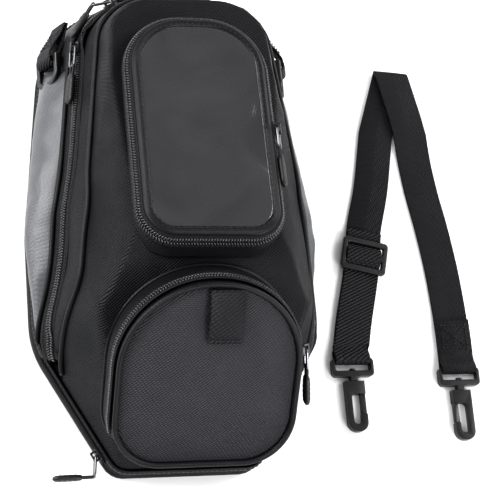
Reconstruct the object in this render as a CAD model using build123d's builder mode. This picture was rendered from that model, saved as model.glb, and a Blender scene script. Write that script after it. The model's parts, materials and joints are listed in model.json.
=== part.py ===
"""Motorcycle tank bag with a detached shoulder strap, in millimetres.

The bag lies on its base: +Z up, +Y toward the carrying handle, +X to the right of someone who looks along +Y.
The origin is the centre of the base's underside.
"""
from build123d import *
from math import atan, cos, hypot, radians, sin
import os

os.makedirs("parts", exist_ok=True)

# ---------------------------------------------------------------- driving dimensions
front_y = -158.0  # front end of the base
rear_y = 164.0  # rear end of the base
front_half_width = 47.0  # half the straight front edge
half_width = 95.0  # half the widest part of the base
wide_front_y = -72.0  # where the front taper ends
wide_rear_y = 5.0  # where the rear taper starts
rear_half_width = 77.0  # half width that the rear taper aims at
front_corner_r = 14.0
side_corner_r = 60.0
rear_corner_r = 60.0

skin_height = 2.5  # non-slip underside
pad_height = 5.0  # foam layer that holds the magnets
board_height = 1.6
tray_height = 20.0  # base compartment and floor together
wall = 2.5  # fabric wall of the base
floor_height = 2.0
joint_gap = 0.5  # between the tub and the cover along the zip
fit_gap = 0.3  # between parts that move past each other

side_taper = 20.0  # lean of the side walls, degrees
ridge_y = -38.0
ridge_z = 118.5
ridge_r = 70.0
front_slope = 0.8  # rise over run of the front face
top_slope = 0.0717  # fall over run of the top face, toward the rear
shoulder_half_width = 73.0
shoulder_z = 84.0
crown_half_width = 48.0
shoulder_r = 20.0
crown_r = 30.0
hull_reach = 240.0  # how far the cutting solids extend

panel_thickness = 2.4
tub_lining = 2.2
cover_thickness = 3.0
cover_lining_thickness = 0.8
tape_thickness = 0.8
tape_width = 7.0
piping_height = 3.0
piping_width = 3.2
zip_front_y = -84.0  # where the main zip ends on each side

split_low_z = 22.5  # height of the parting line at the hinge

magnet_r = 15.0
magnet_x = 55.0
magnet_y = (-60.0, 80.0)

flap_length = 78.0  # base compartment's door, along the tapered side
flap_height = 8.4
flap_low_z = 9.6
flap_thickness = 2.5

pocket_length = 158.0  # phone pocket, along the top face
pocket_width = 96.0
pocket_centre_y = 38.0
pocket_front_r = 24.0
pocket_rear_r = 40.0
pocket_depth = 12.0
pocket_flare = 6.5
pocket_wall = 2.0
pocket_sink = 8.0  # how far the gusset is carried down before it is cut to the cover
pocket_back_thickness = 1.2
frame_thickness = 2.0
frame_width = 3.2
film_thickness = 0.6
film_gap = 0.1

round_length = 121.0  # round pocket, along the front face
round_width = 114.0
round_centre_y = -97.0
round_top_r = min(round_width, round_length) / 2 - 1.5
round_bottom_r = 31.0
round_depth = 24.0
round_flare = 3.0
round_wall = 2.2
round_back = 1.5
round_panel_thickness = 2.4
round_piping_width = 2.7
round_piping_height = 3.0

webbing = 25.0  # width of the strap and tab webbing
webbing_thickness = 1.6
handle_width = 23.0
handle_thickness = 2.6
handle_low_z = 31.4
handle_stand = 17.0  # how far the handle stands off the rear wall

ring_wire = 2.1  # radius of a D-ring's bar
ring_width = 18.5
ring_length = 17.0
ring_bow_r = 10.0

slider_length = 9.0
slider_width = 7.6
slider_height = 2.6
bridge_length = 7.0
bridge_width = 2.2
bridge_height = 3.6
bail_wire = 0.75
bail_width = 6.0
bail_length = 13.0
tab_length = 30.0
tab_width = 9.0
tab_thickness = 3.4

strap_left = ((126, -79), (131, -55), (140, -20), (146, 12), (155, 44), (163, 84), (172, 128))
strap_right = ((186, 128), (189, 84), (193, 44), (198, 12), (202, -22), (204, -60), (204, -87))
tri_glide_point = (143, -8)
tri_glide_length = 24.0
tri_glide_width = 33.0
tri_thickness = 2.6
tri_slot = 6.0
tri_slot_pitch = 10.0

eye_length = 13.0
eye_width = 30.0
eye_gap = 2.5  # from the webbing's sewn end to the frame
eye_slot = 6.6
eye_slot_shift = 0.8
boss_length = 3.0
hook_thickness = 5.0
hook_width = 14.0
hook_length = 35.0
hook_root = 9.0
throat_length = 21.0
throat_width = 6.4
swivel_r = 1.4
swivel_gap = 0.08
shank_start = 2.2
head = 1.2
head_r = 2.2
gate_length = 14.0
gate_root = 1.8
gate_line = 5.1
gate_pin_r = 0.9
cheek = 0.8

# ---------------------------------------------------------------- derived frames
tray_top = tray_height
taper_tan = sin(radians(side_taper)) / cos(radians(side_taper))
front_angle = atan(front_slope)
top_angle = -atan(top_slope)


def top_z(y):
    """Height of the cover's top face at y."""
    return ridge_z - (y - ridge_y) * top_slope


def front_z(y):
    """Height of the cover's front face at y."""
    return ridge_z + (y - ridge_y) * front_slope


pocket_plane = Plane(
    origin=(0, pocket_centre_y, top_z(pocket_centre_y)),
    x_dir=(1, 0, 0),
    z_dir=(0, -sin(top_angle), cos(top_angle)),
)
round_plane = Plane(
    origin=(0, round_centre_y, front_z(round_centre_y)),
    x_dir=(1, 0, 0),
    z_dir=(0, -sin(front_angle), cos(front_angle)),
)


# ---------------------------------------------------------------- shared shapes
def corners_at(sketch, x, y):
    """A sketch's corners at (x, y) and (-x, y)."""
    return [v for v in sketch.vertices() if hypot(abs(v.X) - x, v.Y - y) < 0.01]


def plan(z, inset):
    """Outline of the base at height z, moved in by inset."""
    with BuildSketch(Plane.XY.offset(z)) as outline:
        with BuildLine():
            Polyline(
                (0, front_y),
                (front_half_width, front_y),
                (half_width, wide_front_y),
                (half_width, wide_rear_y),
                (rear_half_width, rear_y),
                (0, rear_y),
            )
            mirror(about=Plane.YZ)
        make_face()
        fillet(corners_at(outline, front_half_width, front_y), front_corner_r)
        fillet(corners_at(outline, half_width, wide_front_y), side_corner_r)
        fillet(corners_at(outline, half_width, wide_rear_y), side_corner_r)
        fillet(corners_at(outline, rear_half_width, rear_y), rear_corner_r)
        if inset:
            offset(amount=-inset)
    return outline.sketch


def hull(inset):
    """The bag's outer shape above the base, moved in by inset."""
    with BuildPart() as shape:
        add(plan(tray_top, inset))
        extrude(amount=ridge_z, taper=side_taper)
        with BuildSketch(Plane.YZ) as side_view:
            with BuildLine():
                Polyline(
                    (-hull_reach, -hull_reach),
                    (hull_reach, -hull_reach),
                    (hull_reach, top_z(hull_reach)),
                    (ridge_y, ridge_z),
                    (-hull_reach, front_z(-hull_reach)),
                    close=True,
                )
            make_face()
            fillet(side_view.vertices().sort_by(Axis.Y)[-1], ridge_r)
            offset(amount=-inset)
        extrude(amount=hull_reach, both=True, mode=Mode.INTERSECT)
        with BuildSketch(Plane.XZ) as end_view:
            with BuildLine():
                Polyline(
                    (0, -hull_reach),
                    (hull_reach, -hull_reach),
                    (hull_reach, 0),
                    (shoulder_half_width, shoulder_z),
                    (crown_half_width, ridge_z),
                    (0, ridge_z),
                )
                mirror(about=Plane.YZ)
            make_face()
            fillet(corners_at(end_view, shoulder_half_width, shoulder_z), shoulder_r)
            fillet(corners_at(end_view, crown_half_width, ridge_z), crown_r)
            offset(amount=-inset)
        extrude(amount=hull_reach, both=True, mode=Mode.INTERSECT)
    return shape.part


def under(points, radii, shift):
    """Everything below a line in the side view, raised by shift."""
    raised = [(y, z + shift) for y, z in points]
    with BuildPart() as solid:
        with BuildSketch(Plane.YZ):
            with BuildLine():
                FilletPolyline((-hull_reach, raised[0][1]), *raised, radius=radii)
                Polyline(raised[-1], (hull_reach, -hull_reach), (-hull_reach, -hull_reach))
                Line((-hull_reach, -hull_reach), (-hull_reach, raised[0][1]))
            make_face()
        extrude(amount=hull_reach, both=True)
    return solid.part


split_line = ((-92, split_low_z), (-34, 54.5), (30, 67), (hull_reach, 73))
split_radii = [60, 120, 250]
tub_piping_line = ((-92, split_low_z - 14), (-34, 40.5), (30, 53), (hull_reach, 59))
cover_piping_line = ((-96, 24), (-50, 77), (0, 87), (hull_reach, 94))
cover_piping_radii = [20, 40, 200]


def slab(low, high):
    """Box between two corner points."""
    with BuildPart() as box:
        with BuildSketch(Plane.XY.offset(low[2])):
            with Locations(((low[0] + high[0]) / 2, (low[1] + high[1]) / 2)):
                Rectangle(high[0] - low[0], high[1] - low[1])
        extrude(amount=high[2] - low[2])
    return box.part


def finish(name, builder):
    """Label a finished piece and write it."""
    builder.part.label = name
    export_step(builder.part, f"parts/{name}.step")


# ---------------------------------------------------------------- base
with BuildPart() as base_skin:
    add(plan(0, 0))
    extrude(amount=skin_height)
finish("base_skin", base_skin)

pad_z = skin_height
magnet_places = [(side * magnet_x, y) for y in magnet_y for side in (-1, 1)]
with BuildPart() as base_pad:
    add(plan(pad_z, wall + fit_gap))
    extrude(amount=pad_height)
    with BuildSketch(Plane.XY.offset(pad_z)):
        with Locations(*magnet_places):
            Circle(magnet_r + fit_gap)
    extrude(amount=pad_height, mode=Mode.SUBTRACT)
finish("base_pad", base_pad)

for number, place in enumerate(magnet_places, start=1):
    with BuildPart() as magnet:
        with BuildSketch(Plane.XY.offset(pad_z)):
            with Locations(place):
                Circle(magnet_r)
        extrude(amount=pad_height)
        chamfer(magnet.edges().filter_by(GeomType.CIRCLE), 0.5)
    finish(f"magnet_{number}", magnet)

board_z = pad_z + pad_height
with BuildPart() as base_board:
    add(plan(board_z, wall + fit_gap))
    extrude(amount=board_height)
finish("base_board", base_board)

# the door's run along the tapered left side
taper_run = hypot(half_width - front_half_width, wide_front_y - front_y)
along = ((front_half_width - half_width) / taper_run, (wide_front_y - front_y) / taper_run)
outward = (-along[1], along[0])
flap_middle = (
    -(front_half_width + half_width) / 2,
    (front_y + wide_front_y) / 2,
)
flap_plane = Plane(
    origin=(flap_middle[0], flap_middle[1], flap_low_z),
    x_dir=(along[0], along[1], 0),
    z_dir=(outward[0], outward[1], 0),
)


def flap_block(length, low, high, inner, outer):
    """Block on the door's wall: length along it, low to high above the door's foot, inner to outer across it."""
    with BuildPart() as block:
        with BuildSketch(flap_plane.offset(inner)):
            with Locations((0, -(low + high) / 2)):
                Rectangle(length, high - low)
        extrude(amount=outer - inner)
    return block.part


with BuildPart() as base_wall:
    add(plan(skin_height, 0))
    extrude(amount=tray_height - skin_height)
    add(plan(skin_height, wall))
    extrude(amount=tray_height - skin_height, mode=Mode.SUBTRACT)
door_gap = flap_length + 2 * fit_gap
foot_depth = flap_low_z - skin_height


def wall_strip(low, high):
    """The base wall's strip below or above the door, from low to high over the door's foot."""
    with BuildPart() as strip:
        add(base_wall)
        add(flap_block(door_gap, low, high, -2 * wall, wall), mode=Mode.INTERSECT)
    return strip


door_sill = wall_strip(-foot_depth, -3 * fit_gap)
finish("door_sill", door_sill)
door_header = wall_strip(flap_height + fit_gap, tray_height - flap_low_z)
finish("door_header", door_header)

with base_wall:
    add(
        flap_block(door_gap, -2 * foot_depth, 2 * tray_height, -2 * wall, wall),
        mode=Mode.SUBTRACT,
    )
finish("base_wall", base_wall)

with BuildPart() as base_flap:
    add(flap_block(flap_length, 0, flap_height, -flap_thickness, 0))
finish("base_flap", base_flap)

with BuildPart() as floor_panel:
    add(plan(tray_height - floor_height, wall + fit_gap))
    extrude(amount=floor_height)
finish("floor_panel", floor_panel)

# ---------------------------------------------------------------- tub
outer_hull = hull(0)
panel_back = hull(panel_thickness)
lining_back = hull(panel_thickness + tub_lining)
below_split = under(split_line, split_radii, -joint_gap / 2)
below_tub_piping = under(tub_piping_line, split_radii, -piping_height / 2)
rear_seam_y = 112.0
seam_gap = 0.2

with BuildPart() as tub_wall:
    add(panel_back)
    add(lining_back, mode=Mode.SUBTRACT)
    add(below_split, mode=Mode.INTERSECT)
finish("tub_wall", tub_wall)

for side, name in ((-1, "side_panel_left"), (1, "side_panel_right")):
    near = min(side * seam_gap, side * hull_reach)
    far = max(side * seam_gap, side * hull_reach)
    with BuildPart() as side_panel:
        add(outer_hull)
        add(panel_back, mode=Mode.SUBTRACT)
        add(below_tub_piping, mode=Mode.INTERSECT)
        add(slab((near, zip_front_y, 0), (far, rear_seam_y, ridge_z)), mode=Mode.INTERSECT)
    finish(name, side_panel)

with BuildPart() as rear_panel:
    add(outer_hull)
    add(panel_back, mode=Mode.SUBTRACT)
    add(below_tub_piping, mode=Mode.INTERSECT)
    add(slab((-hull_reach, rear_seam_y + seam_gap, 0), (hull_reach, hull_reach, ridge_z)), mode=Mode.INTERSECT)
finish("rear_panel", rear_panel)

with BuildPart() as tub_gusset:
    add(outer_hull)
    add(panel_back, mode=Mode.SUBTRACT)
    add(below_split, mode=Mode.INTERSECT)
    add(below_tub_piping, mode=Mode.SUBTRACT)
finish("tub_gusset", tub_gusset)

behind_zip_end = slab((-hull_reach, zip_front_y, 0), (hull_reach, hull_reach, hull_reach))
tape_hull = hull(-tape_thickness)
piping_hull = hull(-piping_width)

with BuildPart() as tub_zip_tape:
    add(tape_hull)
    add(outer_hull, mode=Mode.SUBTRACT)
    add(below_split, mode=Mode.INTERSECT)
    add(under(split_line, split_radii, -tape_width), mode=Mode.SUBTRACT)
    add(behind_zip_end, mode=Mode.INTERSECT)
finish("tub_zip_tape", tub_zip_tape)

with BuildPart() as tub_piping:
    add(piping_hull)
    add(outer_hull, mode=Mode.SUBTRACT)
    add(under(tub_piping_line, split_radii, piping_height / 2), mode=Mode.INTERSECT)
    add(below_tub_piping, mode=Mode.SUBTRACT)
    add(behind_zip_end, mode=Mode.INTERSECT)
finish("tub_piping", tub_piping)

# carrying handle: a band that stands off the rear wall
handle_inset = (handle_low_z + handle_width / 2 - tray_top) * taper_tan
handle_wall_y = rear_y - handle_inset
handle_half_span = 46.0
handle_foot = 14.0  # how far round the rear corners its ends are sewn
handle_sagitta = handle_stand + handle_foot
handle_r = (handle_half_span**2 + handle_sagitta**2) / (2 * handle_sagitta)
with BuildPart() as handle:
    with BuildSketch(Plane.XY.offset(handle_low_z)):
        with Locations((0, handle_wall_y + handle_stand - handle_r)):
            Circle(handle_r)
            Circle(handle_r - handle_thickness, mode=Mode.SUBTRACT)
        with Locations((0, handle_wall_y - handle_foot)):
            Rectangle(hull_reach, hull_reach, align=(Align.CENTER, Align.MAX), mode=Mode.SUBTRACT)
    extrude(amount=handle_width)
    add(outer_hull, mode=Mode.SUBTRACT)
finish("handle", handle)

# D-rings on their webbing tabs, one on each rear corner, leaning with the wall
ring_z = 41.0
ring_bar_y = 116.0
ring_bar_x = 80.5
ring_clear = 0.9  # room for the ring's bar in the tab's fold
tab_webbing = 18.0
tab_out = ring_wire + ring_clear + webbing_thickness


def d_ring_tab(side):
    """Folded webbing tab that holds a D-ring's bar; the sketch looks down the bar."""
    bar = Vector(-side * sin(radians(side_taper)), 0, cos(radians(side_taper)))
    section = Plane(origin=(side * ring_bar_x, ring_bar_y, ring_z), x_dir=(0, 1, 0), z_dir=bar)
    with BuildPart() as tab:
        with BuildSketch(section):
            Circle(tab_out)
            with BuildLine():
                Polyline((0, -side * tab_out), (0, side * tab_out), (26, side * 23), (22, side * 9), close=True)
            make_face()
            Circle(ring_wire + ring_clear, mode=Mode.SUBTRACT)
        extrude(amount=tab_webbing / 2, both=True)
        add(outer_hull, mode=Mode.SUBTRACT)
    return tab


def d_ring(side):
    """D-shaped ring: a straight bar through the tab and a bow toward the front."""
    away = Vector(side * cos(radians(side_taper)), 0, sin(radians(side_taper)))
    ring_plane = Plane(origin=(side * ring_bar_x, ring_bar_y, ring_z), x_dir=(0, -1, 0), z_dir=away)
    half = ring_width / 2 + 2 * ring_wire
    far = ring_length + ring_wire
    with BuildPart() as ring:
        with BuildSketch(ring_plane) as ring_view:
            with BuildLine():
                Polyline((-ring_wire, -half), (-ring_wire, half), (far, half), (far, -half), close=True)
            make_face()
            fillet(corners_at(ring_view, far, half) + corners_at(ring_view, far, -half), ring_bow_r)
            offset(amount=-2 * ring_wire, mode=Mode.SUBTRACT)
        extrude(amount=ring_wire, both=True)
        outer_edges = ring.edges().filter_by(lambda e: e.length > 3 * ring_wire)
        chamfer(outer_edges, ring_wire * 0.35)
    return ring


for side, name in ((-1, "left"), (1, "right")):
    finish(f"d_ring_tab_{name}", d_ring_tab(side))
    finish(f"d_ring_{name}", d_ring(side))

# ---------------------------------------------------------------- cover
cover_back = hull(cover_thickness)
cover_lining_back = hull(cover_thickness + cover_lining_thickness)
below_cover = under(split_line, split_radii, joint_gap / 2)

with BuildPart() as cover_shell:
    add(outer_hull)
    add(cover_back, mode=Mode.SUBTRACT)
    add(below_cover, mode=Mode.SUBTRACT)
finish("cover_shell", cover_shell)

with BuildPart() as cover_lining:
    add(cover_back)
    add(cover_lining_back, mode=Mode.SUBTRACT)
    add(below_cover, mode=Mode.SUBTRACT)
finish("cover_lining", cover_lining)

with BuildPart() as cover_zip_tape:
    add(tape_hull)
    add(outer_hull, mode=Mode.SUBTRACT)
    add(below_cover, mode=Mode.SUBTRACT)
    add(under(split_line, split_radii, tape_width), mode=Mode.INTERSECT)
    add(behind_zip_end, mode=Mode.INTERSECT)
finish("cover_zip_tape", cover_zip_tape)

with BuildPart() as cover_piping:
    add(piping_hull)
    add(outer_hull, mode=Mode.SUBTRACT)
    add(under(cover_piping_line, cover_piping_radii, piping_height), mode=Mode.INTERSECT)
    add(under(cover_piping_line, cover_piping_radii, 0), mode=Mode.SUBTRACT)
    add(slab((-hull_reach, zip_front_y - 10, split_low_z + joint_gap), (hull_reach, hull_reach, hull_reach)),
        mode=Mode.INTERSECT)
finish("cover_piping", cover_piping)


# ---------------------------------------------------------------- phone pocket
def pocket_outline(height, inset):
    """Phone pocket's outline at a height above the cover's top face."""
    half_long = pocket_length / 2
    half_wide = pocket_width / 2
    with BuildSketch(pocket_plane.offset(height)) as outline:
        with BuildLine():
            Polyline(
                (-half_wide, -half_long),
                (half_wide, -half_long),
                (half_wide, half_long),
                (-half_wide, half_long),
                close=True,
            )
        make_face()
        fillet(corners_at(outline, half_wide, -half_long), pocket_front_r)
        fillet(corners_at(outline, half_wide, half_long), pocket_rear_r)
        if inset:
            offset(amount=-inset)
    return outline.sketch


sink_flare = pocket_flare * pocket_sink / pocket_depth
with BuildPart() as phone_pocket_gusset:
    add(pocket_outline(-pocket_sink, -sink_flare))
    add(pocket_outline(pocket_depth, pocket_flare))
    loft(ruled=True)
    add(pocket_outline(-pocket_sink, pocket_wall - sink_flare))
    add(pocket_outline(pocket_depth, pocket_wall + pocket_flare))
    loft(ruled=True, mode=Mode.SUBTRACT)
    add(outer_hull, mode=Mode.SUBTRACT)
finish("phone_pocket_gusset", phone_pocket_gusset)

pocket_back_inset = pocket_wall + pocket_flare * pocket_back_thickness / pocket_depth + 3 * fit_gap
with BuildPart() as phone_pocket_back:
    add(pocket_outline(0, pocket_back_inset))
    extrude(amount=pocket_back_thickness)
    add(outer_hull, mode=Mode.SUBTRACT)
finish("phone_pocket_back", phone_pocket_back)

frame_z = pocket_depth + fit_gap
frame_inset = pocket_flare - 1.0
with BuildPart() as window_frame:
    add(pocket_outline(frame_z, frame_inset))
    extrude(amount=frame_thickness)
    add(pocket_outline(frame_z, frame_inset + frame_width))
    extrude(amount=frame_thickness, mode=Mode.SUBTRACT)
finish("window_frame", window_frame)

with BuildPart() as window_film:
    add(pocket_outline(frame_z + frame_thickness / 2, frame_inset + frame_width + film_gap))
    extrude(amount=film_thickness)
finish("window_film", window_film)


# ---------------------------------------------------------------- round pocket
def round_outline(height, inset):
    """Round pocket's outline at a height above the cover's front face."""
    half_long = round_length / 2
    half_wide = round_width / 2
    with BuildSketch(round_plane.offset(height)) as outline:
        with BuildLine():
            Polyline(
                (-half_wide, -half_long),
                (half_wide, -half_long),
                (half_wide, half_long),
                (-half_wide, half_long),
                close=True,
            )
        make_face()
        fillet(corners_at(outline, half_wide, -half_long), round_bottom_r)
        fillet(corners_at(outline, half_wide, half_long), round_top_r)
        if inset:
            offset(amount=-inset)
    return outline.sketch


back_flare = round_flare * (1 - round_back / round_depth)
with BuildPart() as round_pocket_gusset:
    add(round_outline(0, -round_flare))
    add(round_outline(round_depth, 0))
    loft(ruled=True)
    add(round_outline(round_back, round_wall - back_flare))
    add(round_outline(round_depth, round_wall))
    loft(ruled=True, mode=Mode.SUBTRACT)
    add(outer_hull, mode=Mode.SUBTRACT)
finish("round_pocket_gusset", round_pocket_gusset)

round_panel_z = round_depth + fit_gap
round_piping_out = 1.4
with BuildPart() as round_panel_piping:
    add(round_outline(round_panel_z, -round_piping_out))
    extrude(amount=round_piping_height)
    add(round_outline(round_panel_z, round_piping_width - round_piping_out))
    extrude(amount=round_piping_height, mode=Mode.SUBTRACT)
finish("round_panel_piping", round_panel_piping)

with BuildPart() as round_panel:
    add(round_outline(round_panel_z, round_piping_width - round_piping_out))
    extrude(amount=round_panel_thickness)
finish("round_panel", round_panel)

loop_length = 34.0
loop_width = 22.0
loop_thickness = 1.6
loop_plane = round_plane.offset(round_panel_z + round_panel_thickness)
loop_top = round_length / 2 - 3.0
with BuildPart() as light_loop:
    with BuildSketch(loop_plane):
        with Locations((6.0, loop_top - loop_length / 2)):
            Rectangle(loop_width, loop_length)
    extrude(amount=loop_thickness)
    fillet(light_loop.edges().filter_by(Axis.X).group_by(Axis.Z)[-1], loop_thickness / 3)
finish("light_loop", light_loop)


# ---------------------------------------------------------------- zip sliders and pulls
def zip_slider(plane):
    """Slider body on a plane: x along the zip, z away from the bag."""
    with BuildPart() as slider:
        with BuildSketch(plane):
            RectangleRounded(slider_length, slider_width, slider_width * 0.3)
        extrude(amount=slider_height)
        with BuildSketch(plane.offset(slider_height)):
            Rectangle(bridge_length, bridge_width)
        extrude(amount=bridge_height)
        side = Plane(origin=plane.origin, x_dir=plane.x_dir, z_dir=-plane.y_dir)
        with BuildSketch(side.offset(-slider_width)):
            with Locations((0, slider_height + bridge_height / 2 - 0.3)):
                RectangleRounded(bridge_length - 2.4, bridge_height - 1.4, 0.8)
        extrude(amount=2 * slider_width, mode=Mode.SUBTRACT)
    return slider


bail_z = slider_height + bridge_height / 2 - 0.3


def zip_bail(plane):
    """Wire bail through the slider's bridge, lying along the plane's x."""
    with BuildPart() as bail:
        with BuildSketch(plane.offset(bail_z - bail_wire)):
            with Locations((bail_length / 2, 0)):
                RectangleRounded(bail_length + 2 * bail_wire, bail_width + 2 * bail_wire, 2.4)
                RectangleRounded(
                    bail_length - 2 * bail_wire, bail_width - 2 * bail_wire, 1.2, mode=Mode.SUBTRACT
                )
        extrude(amount=2 * bail_wire)
    return bail


def zip_tab(plane, bail_plane):
    """Moulded rubber tab on the bail's far bar."""
    with BuildPart() as tab:
        with BuildSketch(plane.offset(bail_z - tab_thickness / 2)):
            with Locations((bail_length + tab_length / 2 - 3.2, 0)):
                RectangleRounded(tab_length, tab_width, tab_width * 0.42)
            with Locations((bail_length, 0)):
                Rectangle(2 * (bail_wire + fit_gap), bail_width + 2 * (bail_wire + fit_gap), mode=Mode.SUBTRACT)
                Rectangle(8 * bail_wire, bail_width + 8 * bail_wire, align=(Align.MAX, Align.CENTER),
                          mode=Mode.SUBTRACT)
        extrude(amount=tab_thickness)
        eye = Plane(origin=plane.origin, x_dir=plane.x_dir, z_dir=-plane.y_dir)
        with BuildSketch(eye.offset(-bail_width / 2 + 1.6)):
            with Locations((bail_length, bail_z)):
                Circle(bail_wire + 1.5)
                Circle(bail_wire + fit_gap, mode=Mode.SUBTRACT)
            with Locations((bail_length + 2.6, bail_z)):
                Rectangle(2.4, 2.4)
        extrude(amount=bail_width - 3.2)
        bar = bail_plane.from_local_coords(Vector(bail_length, 0, bail_z))
        with BuildSketch(Plane(origin=bar, x_dir=bail_plane.x_dir, z_dir=bail_plane.y_dir)):
            Circle(bail_wire + fit_gap)
        extrude(amount=bail_width, both=True, mode=Mode.SUBTRACT)
    return tab


def wall_plane(x, y, z, heading, lean, stand):
    """Plane on a leaning wall: x along the heading, z away from the wall, stood off by stand."""
    flat_out = Vector(heading[1], -heading[0], 0).normalized()
    if flat_out.X * x + flat_out.Y * y < 0:
        flat_out = -flat_out
    away = (flat_out * cos(lean) + Vector(0, 0, 1) * sin(lean)).normalized()
    origin = Vector(x, y, z) + away * stand
    return Plane(origin=origin, x_dir=(heading[0], heading[1], 0), z_dir=away)


lean = radians(side_taper)
slider_stand = tape_thickness + fit_gap

# the left main slider runs on the straight side, the right one on the rear corner's arc
side_slope = (half_width - rear_half_width) / (rear_y - wide_rear_y)
side_heading = Vector(-side_slope, -1, 0).normalized()
main_zip_z = 70.2
main_inset = (main_zip_z - tray_top) * taper_tan
main_left_y = 112.0
main_left_x = -(half_width - (main_left_y - wide_rear_y) * side_slope - main_inset * hypot(1, side_slope))
main_left_plane = wall_plane(
    main_left_x, main_left_y, main_zip_z, (side_heading.X, side_heading.Y), lean, slider_stand
)

corner_turn = radians(90) - atan(side_slope)
corner_tangent = rear_corner_r * sin(corner_turn / 2) / cos(corner_turn / 2)
corner_centre = (-(rear_half_width - corner_tangent), rear_y - rear_corner_r)
main_right_angle = radians(116)
main_arc_r = rear_corner_r - main_inset
main_right_heading = (-sin(main_right_angle), cos(main_right_angle))
main_right_plane = wall_plane(
    corner_centre[0] + main_arc_r * cos(main_right_angle),
    corner_centre[1] + main_arc_r * sin(main_right_angle),
    main_zip_z + 1.0,
    main_right_heading,
    lean,
    slider_stand,
)

window_lean = radians(90) - atan(pocket_flare / pocket_depth)
window_rise = pocket_depth * 0.55
window_origin = pocket_plane.from_local_coords(
    Vector(pocket_width / 2 - pocket_flare * window_rise / pocket_depth, 0, window_rise)
)
window_away = (pocket_plane.x_dir * sin(window_lean) + pocket_plane.z_dir * cos(window_lean)).normalized()
window_slider_plane = Plane(
    origin=window_origin + window_away * 0.6,
    x_dir=-pocket_plane.y_dir,
    z_dir=window_away,
)

round_rise = round_depth * 0.72
round_arc_y = round_length / 2 - round_top_r
round_slider_angle = radians(8)
round_reach = round_width / 2 + round_flare * (1 - round_rise / round_depth) + 1.4
round_away = (
    round_plane.x_dir * cos(round_slider_angle) + round_plane.y_dir * sin(round_slider_angle)
).normalized()
round_slider_origin = round_plane.from_local_coords(Vector(0, round_arc_y, round_rise)) + round_away * round_reach
round_slider_plane = Plane(
    origin=round_slider_origin,
    x_dir=round_plane.z_dir.cross(round_away) * -1,
    z_dir=round_away,
)

base_slider_run = flap_length / 2 - 6.0
base_slider_origin = (
    Vector(flap_middle[0], flap_middle[1], flap_low_z + flap_height / 2 + 0.3)
    - Vector(along[0], along[1], 0) * base_slider_run
    + Vector(outward[0], outward[1], 0) * fit_gap
)
base_slider_plane = Plane(
    origin=base_slider_origin,
    x_dir=(-along[0], -along[1], 0),
    z_dir=(outward[0], outward[1], 0),
)


def swung(plane, angle):
    """The plane turned about its z through its origin, degrees."""
    return plane.rotated((0, 0, angle))


def tab_after(bail_plane, x_dir, z_dir):
    """Plane for a tab that hangs on the end of a bail but points another way."""
    bar = bail_plane.from_local_coords(Vector(bail_length, 0, bail_z))
    turned = Plane(origin=bar, x_dir=x_dir, z_dir=z_dir)
    return Plane(origin=turned.from_local_coords(Vector(-bail_length, 0, -bail_z)), x_dir=x_dir, z_dir=z_dir)


# the right main pull is swung up onto the cover and wraps round the rear corner
main_right_swing = 12.0
main_right_bail_plane = swung(main_right_plane, -main_right_swing)
wrap_angle = main_right_angle + radians(34)
wrap_out = Vector(cos(wrap_angle) * cos(lean), sin(wrap_angle) * cos(lean), sin(lean))
wrap_plane = Plane(origin=(0, 0, 0), x_dir=(-sin(wrap_angle), cos(wrap_angle), 0), z_dir=wrap_out)
wrap_along = swung(wrap_plane, -main_right_swing).x_dir
main_right_tab_plane = tab_after(main_right_bail_plane, wrap_along, wrap_out)

# the base pull hangs off the front corner: its bail points forward and its tab lies to the left
base_bail_plane = Plane(origin=base_slider_origin, x_dir=(-0.1, -1, 0), z_dir=(-1, 0.1, 0))
base_bail_plane = Plane(
    origin=base_slider_plane.from_local_coords(Vector(0, 0, bail_z)) - base_bail_plane.z_dir * bail_z,
    x_dir=base_bail_plane.x_dir,
    z_dir=base_bail_plane.z_dir,
)
base_tab_droop = radians(9)
base_tab_plane = tab_after(
    base_bail_plane,
    Vector(-cos(base_tab_droop), 0, -sin(base_tab_droop)),
    Vector(0, 1, 0),
)

pull_planes = {
    "main_left": (main_left_plane, main_left_plane, main_left_plane),
    "main_right": (main_right_plane, main_right_bail_plane, main_right_tab_plane),
    "window": (window_slider_plane, window_slider_plane, window_slider_plane),
    "round": (round_slider_plane, round_slider_plane, round_slider_plane),
    "base": (base_slider_plane, base_bail_plane, base_tab_plane),
}
for name, (slider_plane, bail_plane, tab_plane) in pull_planes.items():
    finish(f"{name}_slider", zip_slider(slider_plane))
    finish(f"{name}_bail", zip_bail(bail_plane))
    finish(f"{name}_tab", zip_tab(tab_plane, bail_plane))


# ---------------------------------------------------------------- shoulder strap
def strip(points, width, low, thickness):
    """Flat webbing along a line of points, low above the floor."""
    with BuildPart() as band:
        with BuildSketch(Plane.XY.offset(low)):
            with BuildLine():
                Spline(*points)
            trace(line_width=width)
        extrude(amount=thickness)
    return band.part


with BuildPart() as strap_webbing:
    add(strip(strap_left, webbing, 0, webbing_thickness))
    add(strip(strap_right, webbing, 0, webbing_thickness))
    add(strip(strap_left[:4], webbing, webbing_thickness, webbing_thickness))
    add(strip(strap_right[:2], webbing, webbing_thickness, webbing_thickness))
finish("strap_webbing", strap_webbing)

tri_low = 2 * webbing_thickness + fit_gap
glide_heading = Vector(strap_left[4][0] - strap_left[2][0], strap_left[4][1] - strap_left[2][1], 0).normalized()
glide_plane = Plane(
    origin=(tri_glide_point[0], tri_glide_point[1], tri_low), x_dir=glide_heading, z_dir=(0, 0, 1)
)
with BuildPart() as tri_glide:
    with BuildSketch(glide_plane):
        RectangleRounded(tri_glide_length, tri_glide_width, 3.0)
        with Locations((-tri_slot_pitch / 2, 0), (tri_slot_pitch / 2, 0)):
            RectangleRounded(tri_slot, webbing + 1.0, 1.2, mode=Mode.SUBTRACT)
    extrude(amount=tri_thickness)
    chamfer(tri_glide.faces().sort_by(Axis.Z)[-1].edges(), 0.5)
finish("tri_glide", tri_glide)


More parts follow.
